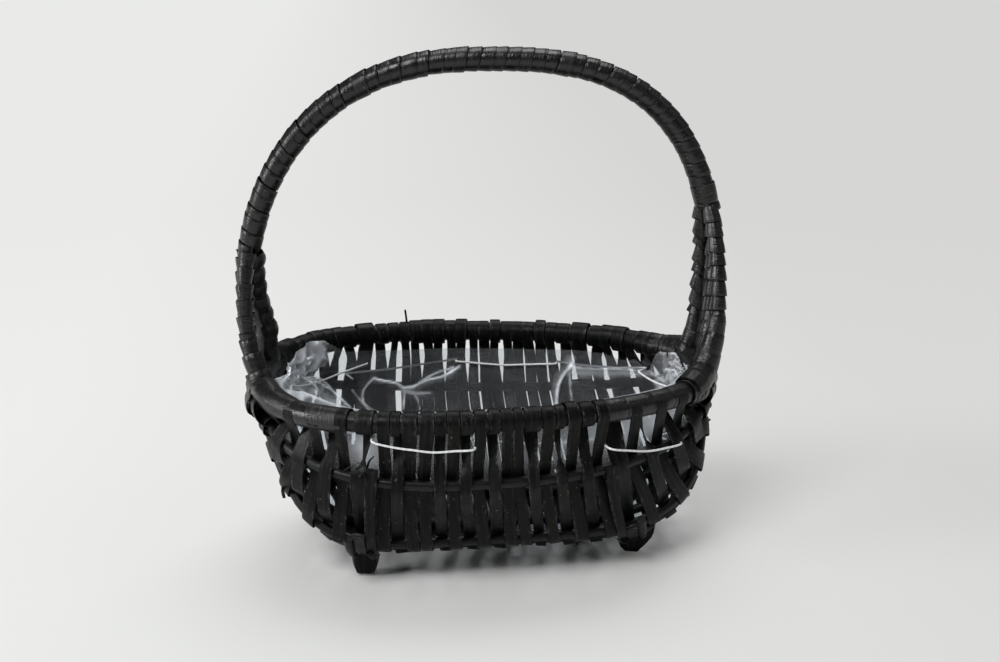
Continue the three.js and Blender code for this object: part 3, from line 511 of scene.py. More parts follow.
def sweep(bm, stations, tone=0.5, closed=False):
    """Adds a closed skin through stations: a point, its side and face directions and its section."""
    length = sum((b[0] - a[0]).length for a, b in zip(stations, stations[1:])) * MM
    section = stations[0][3]
    rows = len(section)
    girth = sum(math.dist(section[j][:2], section[j - 1][:2]) for j in range(rows))

    def place(i, j):
        point, side, face, outline = stations[i]
        across, out, edge = outline[j % rows]
        return point + side * across + face * out, edge

    verts = laid_grid(bm, len(stations) - 1, rows, place, (length, girth * MM), tone)
    bmesh.ops.remove_doubles(bm, verts=verts, dist=1e-7)
    if not closed:
        kept = [vert for vert in verts if vert.is_valid]
        edges = {edge for vert in kept for edge in vert.link_edges if edge.is_boundary}
        bmesh.ops.holes_fill(bm, edges=list(edges), sides=0)


def heading_at(points, i):
    return (points[min(i + 1, len(points) - 1)] - points[max(i - 1, 0)]).normalized()


def strip(bm, controls, thickness, spacing=2.2, tone=0.5):
    """Adds a flat strip. A control is its point, its widthways direction, its width and its twist."""
    run = smooth_run(controls, spacing)
    points = [station[0] for station in run]
    stations = []
    for i, (point, across, width, twist) in enumerate(run):
        ahead = heading_at(points, i)
        side = (across - ahead * across.dot(ahead)).normalized()
        face = ahead.cross(side).normalized()
        turned = Matrix.Rotation(twist, 3, ahead)
        width *= 1 + 0.06 * wander(i * 0.21, tone * 40) + 0.03 * wander(i * 0.9, tone * 40, 5)
        stations.append((point, turned @ side, turned @ face, flat_section(width, thickness)))
    sweep(bm, stations, tone)


def rod(bm, points, radius, sides=10, spacing=3, tone=0.5, closed=False, waver=0.03):
    """Adds a round rod on a smooth line through points."""
    run = smooth_line(points, spacing)
    side = None
    stations = []
    for i, point in enumerate(run):
        ahead = heading_at(run, i)
        side = side or ahead.orthogonal()
        side = (side - ahead * side.dot(ahead)).normalized()
        here = radius * (1 + waver * wander(i * 0.15, tone * 30, 2))
        stations.append((point, side, ahead.cross(side), round_section(here, sides)))
    if closed:
        stations[-1] = stations[0]
    sweep(bm, stations, tone, closed)


CUFF_PROFILE = (  # along the cuff, how much of its flare, how far in, how near an edge
    (0.0, 0.0, 0.35, 1),
    (0.03, 0.03, 0.05, 0.6),
    (0.3, 0.3, 0, 0),
    (0.55, 0.55, 0, 0),
    (0.8, 0.8, 0, 0),
    (0.95, 0.95, 0, 0.7),
    (1.0, 1.0, 0.2, 1),
    (0.99, 1.0, 0.6, 0.3),
    (0.6, 0.6, 0.75, 0),
    (0.05, 0.05, 0.75, 0),
)


def cuff(bm, line, start, length, radius, flare, bulge=0.0, tilt=0.0, ridge=0.03, sides=40, tone=0.5):
    """Adds one turn of ribbon round a line, as a closed band that flares towards its lower end."""
    phase = tone * 50
    rows = len(CUFF_PROFILE)

    def place(i, j):
        turn = 2 * math.pi * i / sides
        along, grown, inwards, edge = CUFF_PROFILE[j % rows]
        reach = start + length * along + tilt * math.cos(turn - phase) * (0.4 + 0.6 * along)
        share = min(max(reach / line.length, 0.001), 0.999)
        ahead = line.heading(share, 0.01)
        out = (ACROSS - ahead * ahead.y).normalized()
        over = ahead.cross(out)
        size = radius + flare * grown - inwards + bulge * math.sin(math.pi * min(along, 1))
        waves = math.cos(5 * turn + phase) + 0.7 * math.cos(11 * turn - phase)
        size *= 1 + ridge * (waves + 0.4 * math.cos(16 * turn + 2 * phase))
        size += 0.15 * wander(turn * 0.8, tone * 9, along)
        return line.at(share) + out * (size * math.cos(turn)) + over * (size * math.sin(turn)), edge

    girth = 2 * math.pi * radius * MM
    verts = laid_grid(bm, sides, rows, place, (girth, 2 * length * MM), tone)
    bmesh.ops.remove_doubles(bm, verts=verts, dist=1e-7)


def placed(name, data):
    """Puts a mesh, a lamp or a camera into the scene as an object."""
    thing = bpy.data.objects.new(name, data)
    bpy.context.scene.collection.objects.link(thing)
    return thing


def finish_piece(name, bm, material, node, crease=40):
    """Makes bm an object that stands for its node and rides on the body."""
    bmesh.ops.recalc_face_normals(bm, faces=bm.faces)
    mesh = bpy.data.meshes.new(name)
    bm.to_mesh(mesh)
    bm.free()
    mesh.shade_smooth()
    mesh.set_sharp_from_angle(angle=math.radians(crease))
    mesh.materials.append(material)
    piece = placed(name, mesh)
    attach(piece, BODY)
    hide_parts(node)
    return piece


def finish_wood(name, bm, slot, node):
    return finish_piece(name, bm, wood(slot), node)


# Materials
def add_node(tree, kind, inputs=None, **settings):
    """Adds a shader node with its settings. An input is set, or linked where it is given a socket."""
    node = tree.nodes.new(f"ShaderNode{kind}")
    for key, value in settings.items():
        setattr(node, key, value)
    for key, value in (inputs or {}).items():
        if isinstance(value, bpy.types.NodeSocket):
            tree.links.new(value, node.inputs[key])
        else:
            node.inputs[key].default_value = value
    return node


def new_material(name):
    material = bpy.data.materials.new(name)
    material.use_nodes = True
    material.node_tree.nodes.clear()
    return material, material.node_tree


def own_map(tree):
    return add_node(tree, "UVMap", uv_map="UVMap").outputs[0]


def mark(tree, name):
    """A value that the vertices carry."""
    return add_node(tree, "Attribute", attribute_name=name).outputs["Fac"]


def shown(tree, shader, kind="Material"):
    add_node(tree, f"Output{kind}", {"Surface": shader})


def mixed(tree, share, a, b):
    return add_node(tree, "Mix", {0: share, 6: a, 7: b}, data_type="RGBA").outputs[2]


def ranged(tree, value, low, high, to_low=0.0, to_high=1.0):
    inputs = {"Value": value, "From Min": low, "From Max": high, "To Min": to_low, "To Max": to_high}
    return add_node(tree, "MapRange", inputs).outputs[0]


def product(tree, a, b, operation="MULTIPLY"):
    return add_node(tree, "Math", {0: a, 1: b}, operation=operation, use_clamp=True).outputs[0]


def bumped(tree, height, strength, distance):
    inputs = {"Height": height, "Strength": strength, "Distance": distance}
    return add_node(tree, "Bump", inputs).outputs[0]


def shader_mix(tree, share, a, b):
    return add_node(tree, "MixShader", {0: share, 1: a, 2: b}).outputs[0]


def stretched(tree, uv, along_mm, across_mm):
    scale = (1 / (along_mm * MM), 1 / (across_mm * MM), 1)
    return add_node(tree, "Mapping", {"Vector": uv, "Scale": scale}).outputs[0]


def grain(tree, uv, along_mm, across_mm, detail=3.0):
    """Noise in streaks of a real length and width, in the piece's own map in metres."""
    inputs = {"Vector": stretched(tree, uv, along_mm, across_mm), "Scale": 1.0, "Detail": detail}
    return add_node(tree, "TexNoise", inputs).outputs[0]


def stained_wood(name, roughness, wear, bump, brown, gloss, seam_shade):
    """Split wood under a black stain, brushed on and rubbed.

    It gives the eye near-black with streaks along the grain, a satin sheen that the streaks break,
    pale flecks where the stain has chipped, paler edges and a brown cast on some strips. On the ribbon
    the edges are darkened instead and lose most of their reflection: painted shade in the seams where
    turns overlap.
    """
    material, tree = new_material(name)
    uv = own_map(tree)
    tone, edge = mark(tree, "tone"), mark(tree, "edge")
    fibres = grain(tree, uv, 30, 0.9)
    blotches = grain(tree, uv, 16, 7)
    flecks = grain(tree, uv, 2.4, 0.9, 4.0)
    names = ("stain_dark", "stain_light", "worn_wood", "warm_stain")
    dark, light, worn, warm = (chosen(key) for key in names)
    streaked = mixed(tree, ranged(tree, fibres, 0.45, 0.75), dark, light)
    warmth = product(tree, ranged(tree, tone, 0.55, 1.0, 0, brown), ranged(tree, blotches, 0.35, 0.6))
    stained = mixed(tree, warmth, streaked, warm)
    patches = grain(tree, uv, 9, 5)
    frayed = product(tree, edge, ranged(tree, flecks, 0.45, 0.6))
    rubbed = product(tree, frayed, ranged(tree, patches, 0.5, 0.62, 0, wear))
    chipped = product(tree, ranged(tree, flecks, 0.66, 0.72), ranged(tree, blotches, 0.5, 0.62, 0, 0.6))
    specks = ranged(tree, grain(tree, uv, 0.7, 0.6, 2.0), 0.68, 0.73)
    sparse = product(tree, specks, ranged(tree, patches, 0.5, 0.62))
    worn_share = product(tree, product(tree, rubbed, chipped, "ADD"), sparse, "ADD")
    # painted shade: near a strip's edges the colour goes to the dark stain, as shade in the seams where
    # ribbon turns overlap
    seam_shade_share = ranged(tree, edge, 0.7, 1.0, 0, seam_shade)
    base = mixed(tree, seam_shade_share, mixed(tree, worn_share, stained, worn), dark)
    height = product(tree, fibres, ranged(tree, flecks, 0.3, 0.7, 0.6, 1.0))
    relief = bumped(tree, height, bump, 0.4 * MM)
    sheen = ranged(tree, blotches, 0.3, 0.7, roughness - 0.08, roughness + 0.12)
    # the seams' painted shade also takes away most of their reflection
    level = ranged(tree, seam_shade_share, 0, 1, 0.5, 0.05)
    inputs = {"Base Color": base, "Roughness": sheen, "Normal": relief, "IOR": gloss}
    inputs["Specular IOR Level"] = level
    shown(tree, add_node(tree, "BsdfPrincipled", inputs).outputs[0])
    return material


def cellophane(name):
    """Thin clear film, creased where it is gathered.

    It gives the eye what is behind it, a little greyed, with reflections near the rim, painted
    highlights along its folds and milky white where it is crumpled. Its vertices carry how milky it is,
    with the painted fold highlights, and how shiny it is.
    """
    material, tree = new_material(name)
    uv = own_map(tree)
    milk_and_fold_glint, glossy = mark(tree, "edge"), mark(tree, "tone")
    cloudy = grain(tree, uv, 14, 14, 1.5)
    clear = add_node(tree, "BsdfTransparent", {"Color": chosen("film_tint")}).outputs[0]
    normal = bumped(tree, cloudy, 0.1, 2 * MM)
    gloss = {"Color": (1, 1, 1, 1), "Roughness": 0.18, "Normal": normal}
    shine = add_node(tree, "BsdfGlossy", gloss).outputs[0]
    fresnel = add_node(tree, "Fresnel", {"IOR": 1.36, "Normal": normal}).outputs[0]
    film = shader_mix(tree, product(tree, fresnel, glossy), clear, shine)
    pale = chosen("film_milk")
    front = add_node(tree, "BsdfDiffuse", {"Color": pale, "Normal": normal}).outputs[0]
    through = add_node(tree, "BsdfTranslucent", {"Color": pale}).outputs[0]
    # diffuse and translucent are added, so the milky film and its painted fold highlights come out brighter
    # than a real sheet: painted light
    white = add_node(tree, "AddShader", {0: front, 1: through}).outputs[0]
    share = product(tree, milk_and_fold_glint, ranged(tree, cloudy, 0.3, 0.65, 0.7, 1.0))
    shown(tree, shader_mix(tree, share, film, white))
    return material


def twisted_thread(name):
    """White sewing thread of two plies. Its diagonal twist gives the eye a fine, soft rope line."""
    material, tree = new_material(name)
    uv = own_map(tree)
    laid = stretched(tree, uv, 1.6, 3.6)  # coarser than real so that it shows
    inputs = {"Vector": laid, "Scale": 0.32, "Distortion": 0.6, "Detail": 2.0}
    wave = add_node(tree, "TexWave", inputs, wave_type="BANDS", bands_direction="DIAGONAL")
    plies = wave.outputs["Fac"]
    pale, shade = chosen("thread"), chosen("thread", 0.6)
    shaded = mixed(tree, ranged(tree, plies, 0, 1, 0.0, 0.35), pale, shade)
    relief = bumped(tree, plies, 0.6, 0.2 * MM)
    inputs = {"Base Color": shaded, "Roughness": 0.85, "Normal": relief, "Sheen Weight": 0.2}
    shown(tree, add_node(tree, "BsdfPrincipled", inputs).outputs[0])
    return material


# Sizes and colours that a user would change
def length_property(name, description, default):
    """A length property, with its default in millimetres."""
    return FloatProperty(name=name, description=description, default=default * MM, unit="LENGTH")


def colour_property(name, description, code):
    return FloatVectorProperty(name=name, description=description, default=colour(code), subtype="COLOR")


class BasketSizes(bpy.types.PropertyGroup):
    splint_width: length_property("Splint width", "Width of a woven splint below the rim", 6.6)
    splint_thickness: length_property("Splint thickness", "Thickness of a woven splint", 0.8)
    ribbon_thickness: length_property("Ribbon thickness", "Thickness of the handle's ribbon", 0.45)
    film_thickness: length_property("Film thickness", "Thickness of the clear liner", 0.1)
    thread_radius: length_property("Thread radius", "Radius of the white stitch", 0.6)
    winding_turns: IntProperty(
        name="Winding turns", description="Turns of ribbon round the handle", default=49, min=10
    )


class BasketColours(bpy.types.PropertyGroup):
    stain_dark: colour_property("Dark stain", "Wood where the stain is deepest", "#070808")
    stain_light: colour_property("Light stain", "Streaks where it is thin", "#1d1d1d")
    worn_wood: colour_property("Worn wood", "Rubbed edges and chips", "#7e7d7b")
    warm_stain: colour_property("Brown stain", "Cast of the browner strips", "#261e1a")
    film_tint: colour_property("Film tint", "Tint of the clear film", "#f1f3f5")
    film_milk: colour_property("Film milk", "Crumpled film", "#eceef2")
    thread: colour_property("Thread", "The stitch", "#f4f5f6")
    floor: colour_property("Floor", "Floor and background", "#e0e1df")


def size(name):
    """A size from the panel, in millimetres."""
    return getattr(bpy.context.scene.basket_sizes, name) / MM


def chosen(name, times=1):
    """A colour from the panel, with its alpha, made lighter or darker."""
    return (*(min(c * times, 1) for c in getattr(bpy.context.scene.basket_colours, name)), 1)


# Each wood's slot: its material, roughness, wear, relief, brown cast, gloss and painted shade in the seams
# where turns overlap
WOODS = {
    "splint_wood": ("Stained split wood", 0.4, 0.45, 0.7, 0.15, 1.22, 0.0),
    "rod_wood": ("Stained peeled rod", 0.4, 0.5, 0.6, 0.25, 1.34, 0.0),
    "ribbon_wood": ("Stained wood ribbon", 0.33, 0.1, 1.0, 0.2, 1.5, 0.9),
}


def wood(slot):
    return bpy.data.materials.get(WOODS[slot][0]) or stained_wood(*WOODS[slot])


# Splints
def splint_places():
    """Where the splints stand, in millimetres from the left joint, and how many are left of the middle."""
    half = RIM_LENGTH / 2
    lashing_end = HANDLE_ROD_RADIUS + 2 * CLEARANCE + LASHING_WIDTH + LASHING_LOOPS * LASHING_PITCH
    free_end = lashing_end + SPLINT_WIDTH / 2 + CLEARANCE
    leg_room = 2 * (FOOT_RADIUS + CLEARANCE)
    sides = []
    for foot_splint in (LEFT_FOOT_SPLINT, RIGHT_FOOT_SPLINT):
        places, place, i = [], MIDDLE_PITCH / 2, 1
        while place < half - free_end:
            places.append(place)
            beside_leg = i in (foot_splint - 1, foot_splint)
            pitch = mix(MIDDLE_PITCH, END_PITCH, (place / half) ** 2)
            place += SPLINT_WIDTH + leg_room if beside_leg else pitch
            i += 1
        sides.append(places)
    left, right = sides
    return [half - place for place in reversed(left)] + [half + place for place in right], len(left)


SPLINT_PLACES, LEFT_COUNT = splint_places()


def first_side(index):
    """1 where a splint starts inside the rim and crosses the first rib outside, -1 the other way."""
    repeats = sum(index >= LEFT_COUNT + gap for gap in SAME_COURSE_GAPS)
    return 1 if (index + repeats) % 2 == FIRST_COURSE else -1


def slanted(share, degrees):
    """Where a splint stands below the rim: near a joint it slants out to the end of the basket."""
    to_joint = min(share, 1 - share) * RIM_LENGTH
    slant = SLANT * ramp(to_joint, *SLANTED) * math.sin(math.radians(degrees))
    return share - slant if share < 0.5 else share + slant


def rim_hook(share, degrees, side, near_rib, offset, lean):
    """The hook's points over the rim, from its free end to the wall."""
    point, along, out = wall_frame(share, degrees)
    steps = 10
    step = (180 + TUCK) / steps
    points = []
    for i in range(steps, -3 if near_rib else -1, -1):
        turn = math.radians(i * step)
        radius = RIM_ROD_RADIUS + offset
        slip = along * (lean * (i / steps - 0.5))
        outwards, up = side * radius * math.cos(turn), radius * math.sin(turn)
        points.append(point + slip + out * outwards + UP * up)
    return points, along


def is_lashed(index):
    """Whether a splint's front hook lies under the smooth lashing beside the joint."""
    place = SPLINT_PLACES[index]
    return place < LEFT_LASHING_END or RIM_LENGTH - place < RIGHT_LASHING_END


def open_span(index, openings):
    """The width of a splint between the openings on its two sides, and its shift."""
    place, line = SPLINT_PLACES[index], range(len(SPLINT_PLACES))
    before = place - SPLINT_PLACES[index - 1] if index - 1 in line else END_PITCH
    after = SPLINT_PLACES[index + 1] - place if index + 1 in line else END_PITCH
    start = min(before, MIDDLE_PITCH * WIDEST) / 2 - openings.get(index, SHUT) / 2
    end = min(after, MIDDLE_PITCH * WIDEST) / 2 - openings.get(index + 1, SHUT) / 2
    return start + end, (end - start) / 2


def splint_controls(index, width, thickness, lean):
    """Control stations of one splint: hook, ribs crossed over and under, hook."""
    place, number = SPLINT_PLACES[index], index + 1
    share = place / RIM_LENGTH
    rng = random.Random(SEED * 100 + index)
    to_joint = min(place, RIM_LENGTH - place)
    crossed = [
        degrees
        for degrees, gap in RIBS.values()
        if min(slanted(share, degrees), 1 - slanted(share, degrees)) * wall_line(degrees).length
        > gap - SPLINT_WIDTH / 2 - CLEARANCE
    ]
    start = first_side(index)
    last = -start if len(crossed) % 2 else start
    near = (wall_point(share, 0) - wall_point(share, crossed[0])).length < NEAR_RIB
    usual = (width + rng.uniform(0.2, 1.2), rng.uniform(-0.4, 0.4))
    band, shift = FRONT_BANDS.get(number, usual)
    proud = GAP + thickness / 2 + (LOOSE_BY if number == LOOSE_BAND else rng.uniform(0, 0.5))
    offset = RIB_RADIUS + GAP + thickness / 2
    nearest = min(abs(other - place) for other in SPLINT_PLACES if other != place)
    width *= 1 + NARROWING * (nearest / MIDDLE_PITCH - 1)
    near_end = ramp(to_joint, *WIDENED)
    controls = []
    points, along = rim_hook(share + shift / RIM_LENGTH, 0, -start, near, proud, rng.uniform(-1.2, 1.2))
    if is_lashed(index):
        points = points[-4 if near else -2 :]
        band = width
    controls += [[point, along, band, 0.0] for point in points]
    if start > 0 and not near:
        middle = RIBS["rib_front_upper"][0] / 2 + 1
        narrow, waist = width * rng.uniform(0.75, 0.95), rng.choice(FRONT_WAISTS)
        if index == LEFT_COUNT - LEFT_FOOT_SPLINT:
            narrow, waist = FOOT_WAIST
        controls.append([off_wall(share, middle, 0), along, narrow, math.radians(waist)])
    for i, degrees in enumerate(crossed):
        side = -start if i % 2 else start
        jitter = lean * (wander(index * 0.45, i * 1.7) + rng.uniform(-0.3, 0.3)) / RIM_LENGTH
        moved = slanted(share, degrees) + jitter
        across = width * rng.uniform(0.94, 1.05) * (1 + WIDER_AT_END * near_end)
        if not near_end and i:
            across, pushed = open_span(index, FRONT_OPENINGS if i < 4 else LOW_OPENINGS)
            moved = share + pushed / RIM_LENGTH
        if i and near_end:
            halfway = (degrees + crossed[i - 1]) / 2
            turned = math.radians(rng.uniform(-18, 18))
            point = off_wall(slanted(share, halfway) + jitter, halfway, 0)
            controls.append([point, along, width * 1.1, turned])
        twist = math.radians(rng.uniform(-7, 7))
        step = (wall_point(share, degrees - 1) - wall_point(share, degrees + 1)).length / 2
        for end in (-1, 1):
            there = degrees + end * CREST / 2 / step
            _, heading, _ = wall_frame(moved, there)
            controls.append([off_wall(moved, there, side * offset), heading, across, twist])
    if len(crossed) == len(RIBS) and not near:
        neck, pushed = open_span(index, REAR_OPENINGS)
        controls.append([off_wall(share + pushed / RIM_LENGTH, REAR_WAIST, 0), along, neck, 0.0])
    else:
        neck = width
    rear_band = width + rng.uniform(-0.6, 1.6)
    proud = GAP + thickness / 2 + rng.choice((0, 0.2, 0.5, 0.9, 1.3))
    points, along = rim_hook(share, 180, last, near, proud, rng.uniform(-2.0, 2.0))
    controls += [[point, along, rear_band if i else neck, 0.0] for i, point in enumerate(reversed(points))]
    return controls


class BASKET_OT_splints(bpy.types.Operator):
    """Weaves the flat splints over the rim and round the ribs."""

    bl_idname = "basket.splints"
    bl_label = "Weave Splints"

    def execute(self, context):
        width, thickness = size("splint_width"), size("splint_thickness")
        for index, place in enumerate(SPLINT_PLACES):
            bm = bmesh.new()
            tone = random.Random(index).random()
            strip(bm, splint_controls(index, width, thickness, SPLINT_LEAN), thickness, tone=tone)
            for number, path, wide in STRAY_ENDS:
                if number == index + 1:
                    controls = []
                    for i, (along, degrees, out, up) in enumerate(path):
                        point = off_wall(slanted((place + along) / RIM_LENGTH, degrees), degrees, out)
                        controls.append([point + UP * up, ALONG, wide, 0.3 * i])
                    strip(bm, controls, STRAY_THICKNESS, 1, tone)
            number = f"{index + 1:02d}"
            finish_wood(f"woven_splint_{number}", bm, "splint_wood", f"splint_{number}")
        return {"FINISHED"}


# Rim and ribs
class BASKET_OT_rim_and_ribs(bpy.types.Operator):
    """Bends the rim hoop and the ribs."""

    bl_idname = "basket.rim_and_ribs"
    bl_label = "Bend Rim and Ribs"

    def execute(self, context):
        steps = 120
        hoop = [rim_place(2 * math.pi * i / steps) for i in range(steps + 1)]
        bm = bmesh.new()
        rod(bm, hoop, RIM_ROD_RADIUS, 14, 6, 0.3, True)
        finish_wood("bent_rim_hoop", bm, "rod_wood", "rim_hoop")
        for name, (degrees, gap) in RIBS.items():
            line = wall_line(degrees)
            first = gap / line.length
            steps = 60
            laps = [(1 - math.cos(math.pi * i / steps)) / 2 for i in range(steps + 1)]
            points = [line.at(mix(first, 1 - first, lap)) for lap in laps]
            bm = bmesh.new()
            rod(bm, points, RIB_RADIUS, tone=random.Random(name).random())
            finish_wood(f"bent_{name}", bm, "rod_wood", name)
        return {"FINISHED"}


# Handle
def handle_centre(side, lap):
    """The bundle's centre: a lap goes from 0 at the left (-1) or right (1) joint to 1 at the top."""
    squareness = LEFT_SHOULDER_SQUARENESS if side < 0 else RIGHT_SHOULDER_SQUARENESS
    reach = HANDLE_LEFT_REACH if side < 0 else HANDLE_RIGHT_REACH
    if lap < LEG_PART:
        below = 1 - lap / LEG_PART
        height = mix(RIM_HEIGHT, HANDLE_WIDEST_HEIGHT, lap / LEG_PART)
        return Vector((side * (reach - HANDLE_DRAW_IN * below**2), 0, height))
    turn = (lap - LEG_PART) / (1 - LEG_PART) * math.pi / 2
    rise = HANDLE_TOP_HEIGHT - HANDLE_WIDEST_HEIGHT
    height = HANDLE_WIDEST_HEIGHT + rise * shaped(math.sin(turn), squareness)
    return Vector((side * reach * shaped(math.cos(turn), squareness), 0, height))


HALF_STEPS = 160
HANDLE = Route(
    [handle_centre(-1, i / HALF_STEPS) for i in range(HALF_STEPS)]
    + [handle_centre(1, i / HALF_STEPS) for i in range(HALF_STEPS, -1, -1)]
)


def handle_share_at(side, height):
    low = halved(0, 0.5, 30, lambda lap: HANDLE.at(lap if side < 0 else 1 - lap).z < height)
    return low if side < 0 else 1 - low


LEFT_WINDING_END = handle_share_at(-1, LEFT_WINDING_HEIGHT)
RIGHT_WINDING_END = handle_share_at(1, RIGHT_WINDING_HEIGHT)
BUNDLE_RADIUS = (2 * HANDLE_ROD_RADIUS + CLEARANCE) / math.sqrt(3)
HANDLE_RODS = {  # each rod's turn in the bundle, and where it stands at the rim: outwards, to the rear
    "front": (BUNDLE_TURN, FRONT_ROD_OUT, -ROD_SPREAD),
    "middle": (BUNDLE_TURN + 120, 0, 0),
    "rear": (BUNDLE_TURN + 240, -REAR_ROD_IN, ROD_SPREAD),
}


def leg_share(share):
    left = (LEFT_WINDING_END - share) / LEFT_WINDING_END
    right = (share - RIGHT_WINDING_END) / (1 - RIGHT_WINDING_END)
    return max(left, right, 0)


def handle_frame(share):
    along = HANDLE.heading(share)
    return HANDLE.at(share), along, along.cross(ACROSS).normalized()


def in_bundle(name):
    turn = math.radians(HANDLE_RODS[name][0])
    return BUNDLE_RADIUS * math.cos(turn), BUNDLE_RADIUS * math.sin(turn)


def rod_place(name, share):
    point, _, out = handle_frame(share)
    bundle = in_bundle(name)
    _, foot_out, foot_rear = HANDLE_RODS[name]
    down = leg_share(share)
    spread = 1 - (1 - down) ** 2
    drawn = LEG_DRAWN_IN[name][share > 0.5] * down * (1 - down if name == "middle" else down)
    outwards = mix(bundle[0], foot_out, spread**2) - drawn
    return point + out * outwards + ACROSS * mix(bundle[1], foot_rear, spread)


def on_rim_place(distance, degrees, left, raised):
    """A place on the rim at a distance from a handle joint, raised over the rim's centre."""
    share = distance / RIM_LENGTH
    return wall_point(share if left else 1 - share, degrees) + UP * raised


def handle_rod_points(name):
    """A handle rod's line. The front and rear ones bend over on to the rim and run along it."""
    bent, degrees = name != "middle", facing(0, name == "rear")
    seat = RIM_HEIGHT + RIM_ROD_RADIUS + CLEARANCE
    first = LEFT_WINDING_END * (1 - ROD_BEND_DOWN) if bent else handle_share_at(-1, seat)
    last = mix(RIGHT_WINDING_END, 1, ROD_BEND_DOWN) if bent else handle_share_at(1, seat)
    steps = 60
    points = [rod_place(name, mix(first, last, i / steps)) for i in range(steps + 1)]
    if bent:
        ends = []
        for left in (True, False):
            ends.append([])
            for distance, raised in BENT_ON_RIM[name, left][1::-1]:
                ends[-1].append(on_rim_place(distance, degrees, left, raised + BENT_ROD_RAISED))
        points = ends[0] + points + ends[1][::-1]
    return points


def round_bundle(share, turn, offset):
    """A point on the three rods' outline, its direction along the handle and its outward direction."""
    point, along, out = handle_frame(share)
    way = math.cos(turn), math.sin(turn)
    rods = [in_bundle(name) for name in HANDLE_RODS]
    best = max(rods, key=lambda place: place[0] * way[0] + place[1] * way[1])
    place = [mix(best[i], BUNDLE_RADIUS * way[i], ROUNDED) + offset * way[i] for i in (0, 1)]
    return point + out * place[0] + ACROSS * place[1], along, out * way[0] + ACROSS * way[1]


class BASKET_OT_handle(bpy.types.Operator):
    """Bends the three handle rods and winds the ribbon round them."""

    bl_idname = "basket.handle"
    bl_label = "Wind Handle"

    def execute(self, context):
        thickness = size("ribbon_thickness")
        for name in HANDLE_RODS:
            bm = bmesh.new()
            rod(bm, handle_rod_points(name), HANDLE_ROD_RADIUS, tone=0.4)
            finish_wood(f"bent_handle_rod_{name}", bm, "rod_wood", f"handle_rod_{name}")
        turns = context.scene.basket_sizes.winding_turns
        pitch = (RIGHT_WINDING_END - LEFT_WINDING_END) * HANDLE.length / turns
        rng = random.Random(SEED)
        widths = [pitch * rng.uniform(*TURN_LAP) for _ in range(turns + 2)]
        slips = [rng.uniform(-TURN_SLIP, TURN_SLIP) for _ in range(turns + 2)]
        lifts = [rng.choice(TURN_LIFTS) for _ in range(turns + 2)]
        tilt = 1.1 * thickness / pitch  # each turn lies on the one before
        stations = []
        for i in range(turns * TURN_STEPS + 1):
            lap = i / TURN_STEPS
            k = int(lap)
            part = ramp(lap - k, 0.35, 0.65)
            width, slip, lift = (mix(row[k], row[k + 1], part) for row in (widths, slips, lifts))
            share = mix(LEFT_WINDING_END, RIGHT_WINDING_END, lap / turns) + slip / HANDLE.length
            turn = 2 * math.pi * lap - math.pi / 2
            offset = HANDLE_ROD_RADIUS + GAP + thickness + lift
            point, along, out = round_bundle(share, turn, offset)
            side, face = (along + out * tilt).normalized(), (out - along * tilt).normalized()
            stations.append((point, side, face, flat_section(width, thickness)))
        bm = bmesh.new()
        sweep(bm, stations, 0.45)
        # the last turn ends with the winding, at 20 of this line's 25 steps
        last = Route([HANDLE.at(RIGHT_WINDING_END + (i - 20) * 0.0015) for i in range(26)])
        cuff(bm, last, last.length * 0.8 - END_CUFF["length"], **END_CUFF, tone=0.9)
        finish_wood("ribbon_winding", bm, "ribbon_wood", "handle_winding")
        return {"FINISHED"}


# Ribbon turns round the legs and lashings at the joints
def leg_points(name, left):
    """A handle rod's points from its winding's end down the leg to the rim's height."""
    run = smooth_line(handle_rod_points(name), 2)
    top = HANDLE.at(LEFT_WINDING_END if left else RIGHT_WINDING_END).z
    return [point for point in (reversed(run) if left else run) if (point.x < 0) == left and point.z < top]


def bent_leg(name, left):
    """A leg's line that bends over on to the rim, down to its centre."""
    upper = [point for point in leg_points(name, left) if point.z > TURN_HEIGHT]
    degrees = facing(0, name == "rear")
    lower = [on_rim_place(distance, degrees, left, raised) for distance, raised in BENT_ON_RIM[name, left]]
    return Route(smooth_line(upper[::6] + lower, 2))


def rim_stretch(left, rear, raised):
    """The rim's line from the handle joint on, as far as there are turns on it."""
    reaches = [RIM_STRETCH * i / 40 for i in range(41)]
    return Route([on_rim_place(reach, facing(0, rear), left, raised) for reach in reaches])


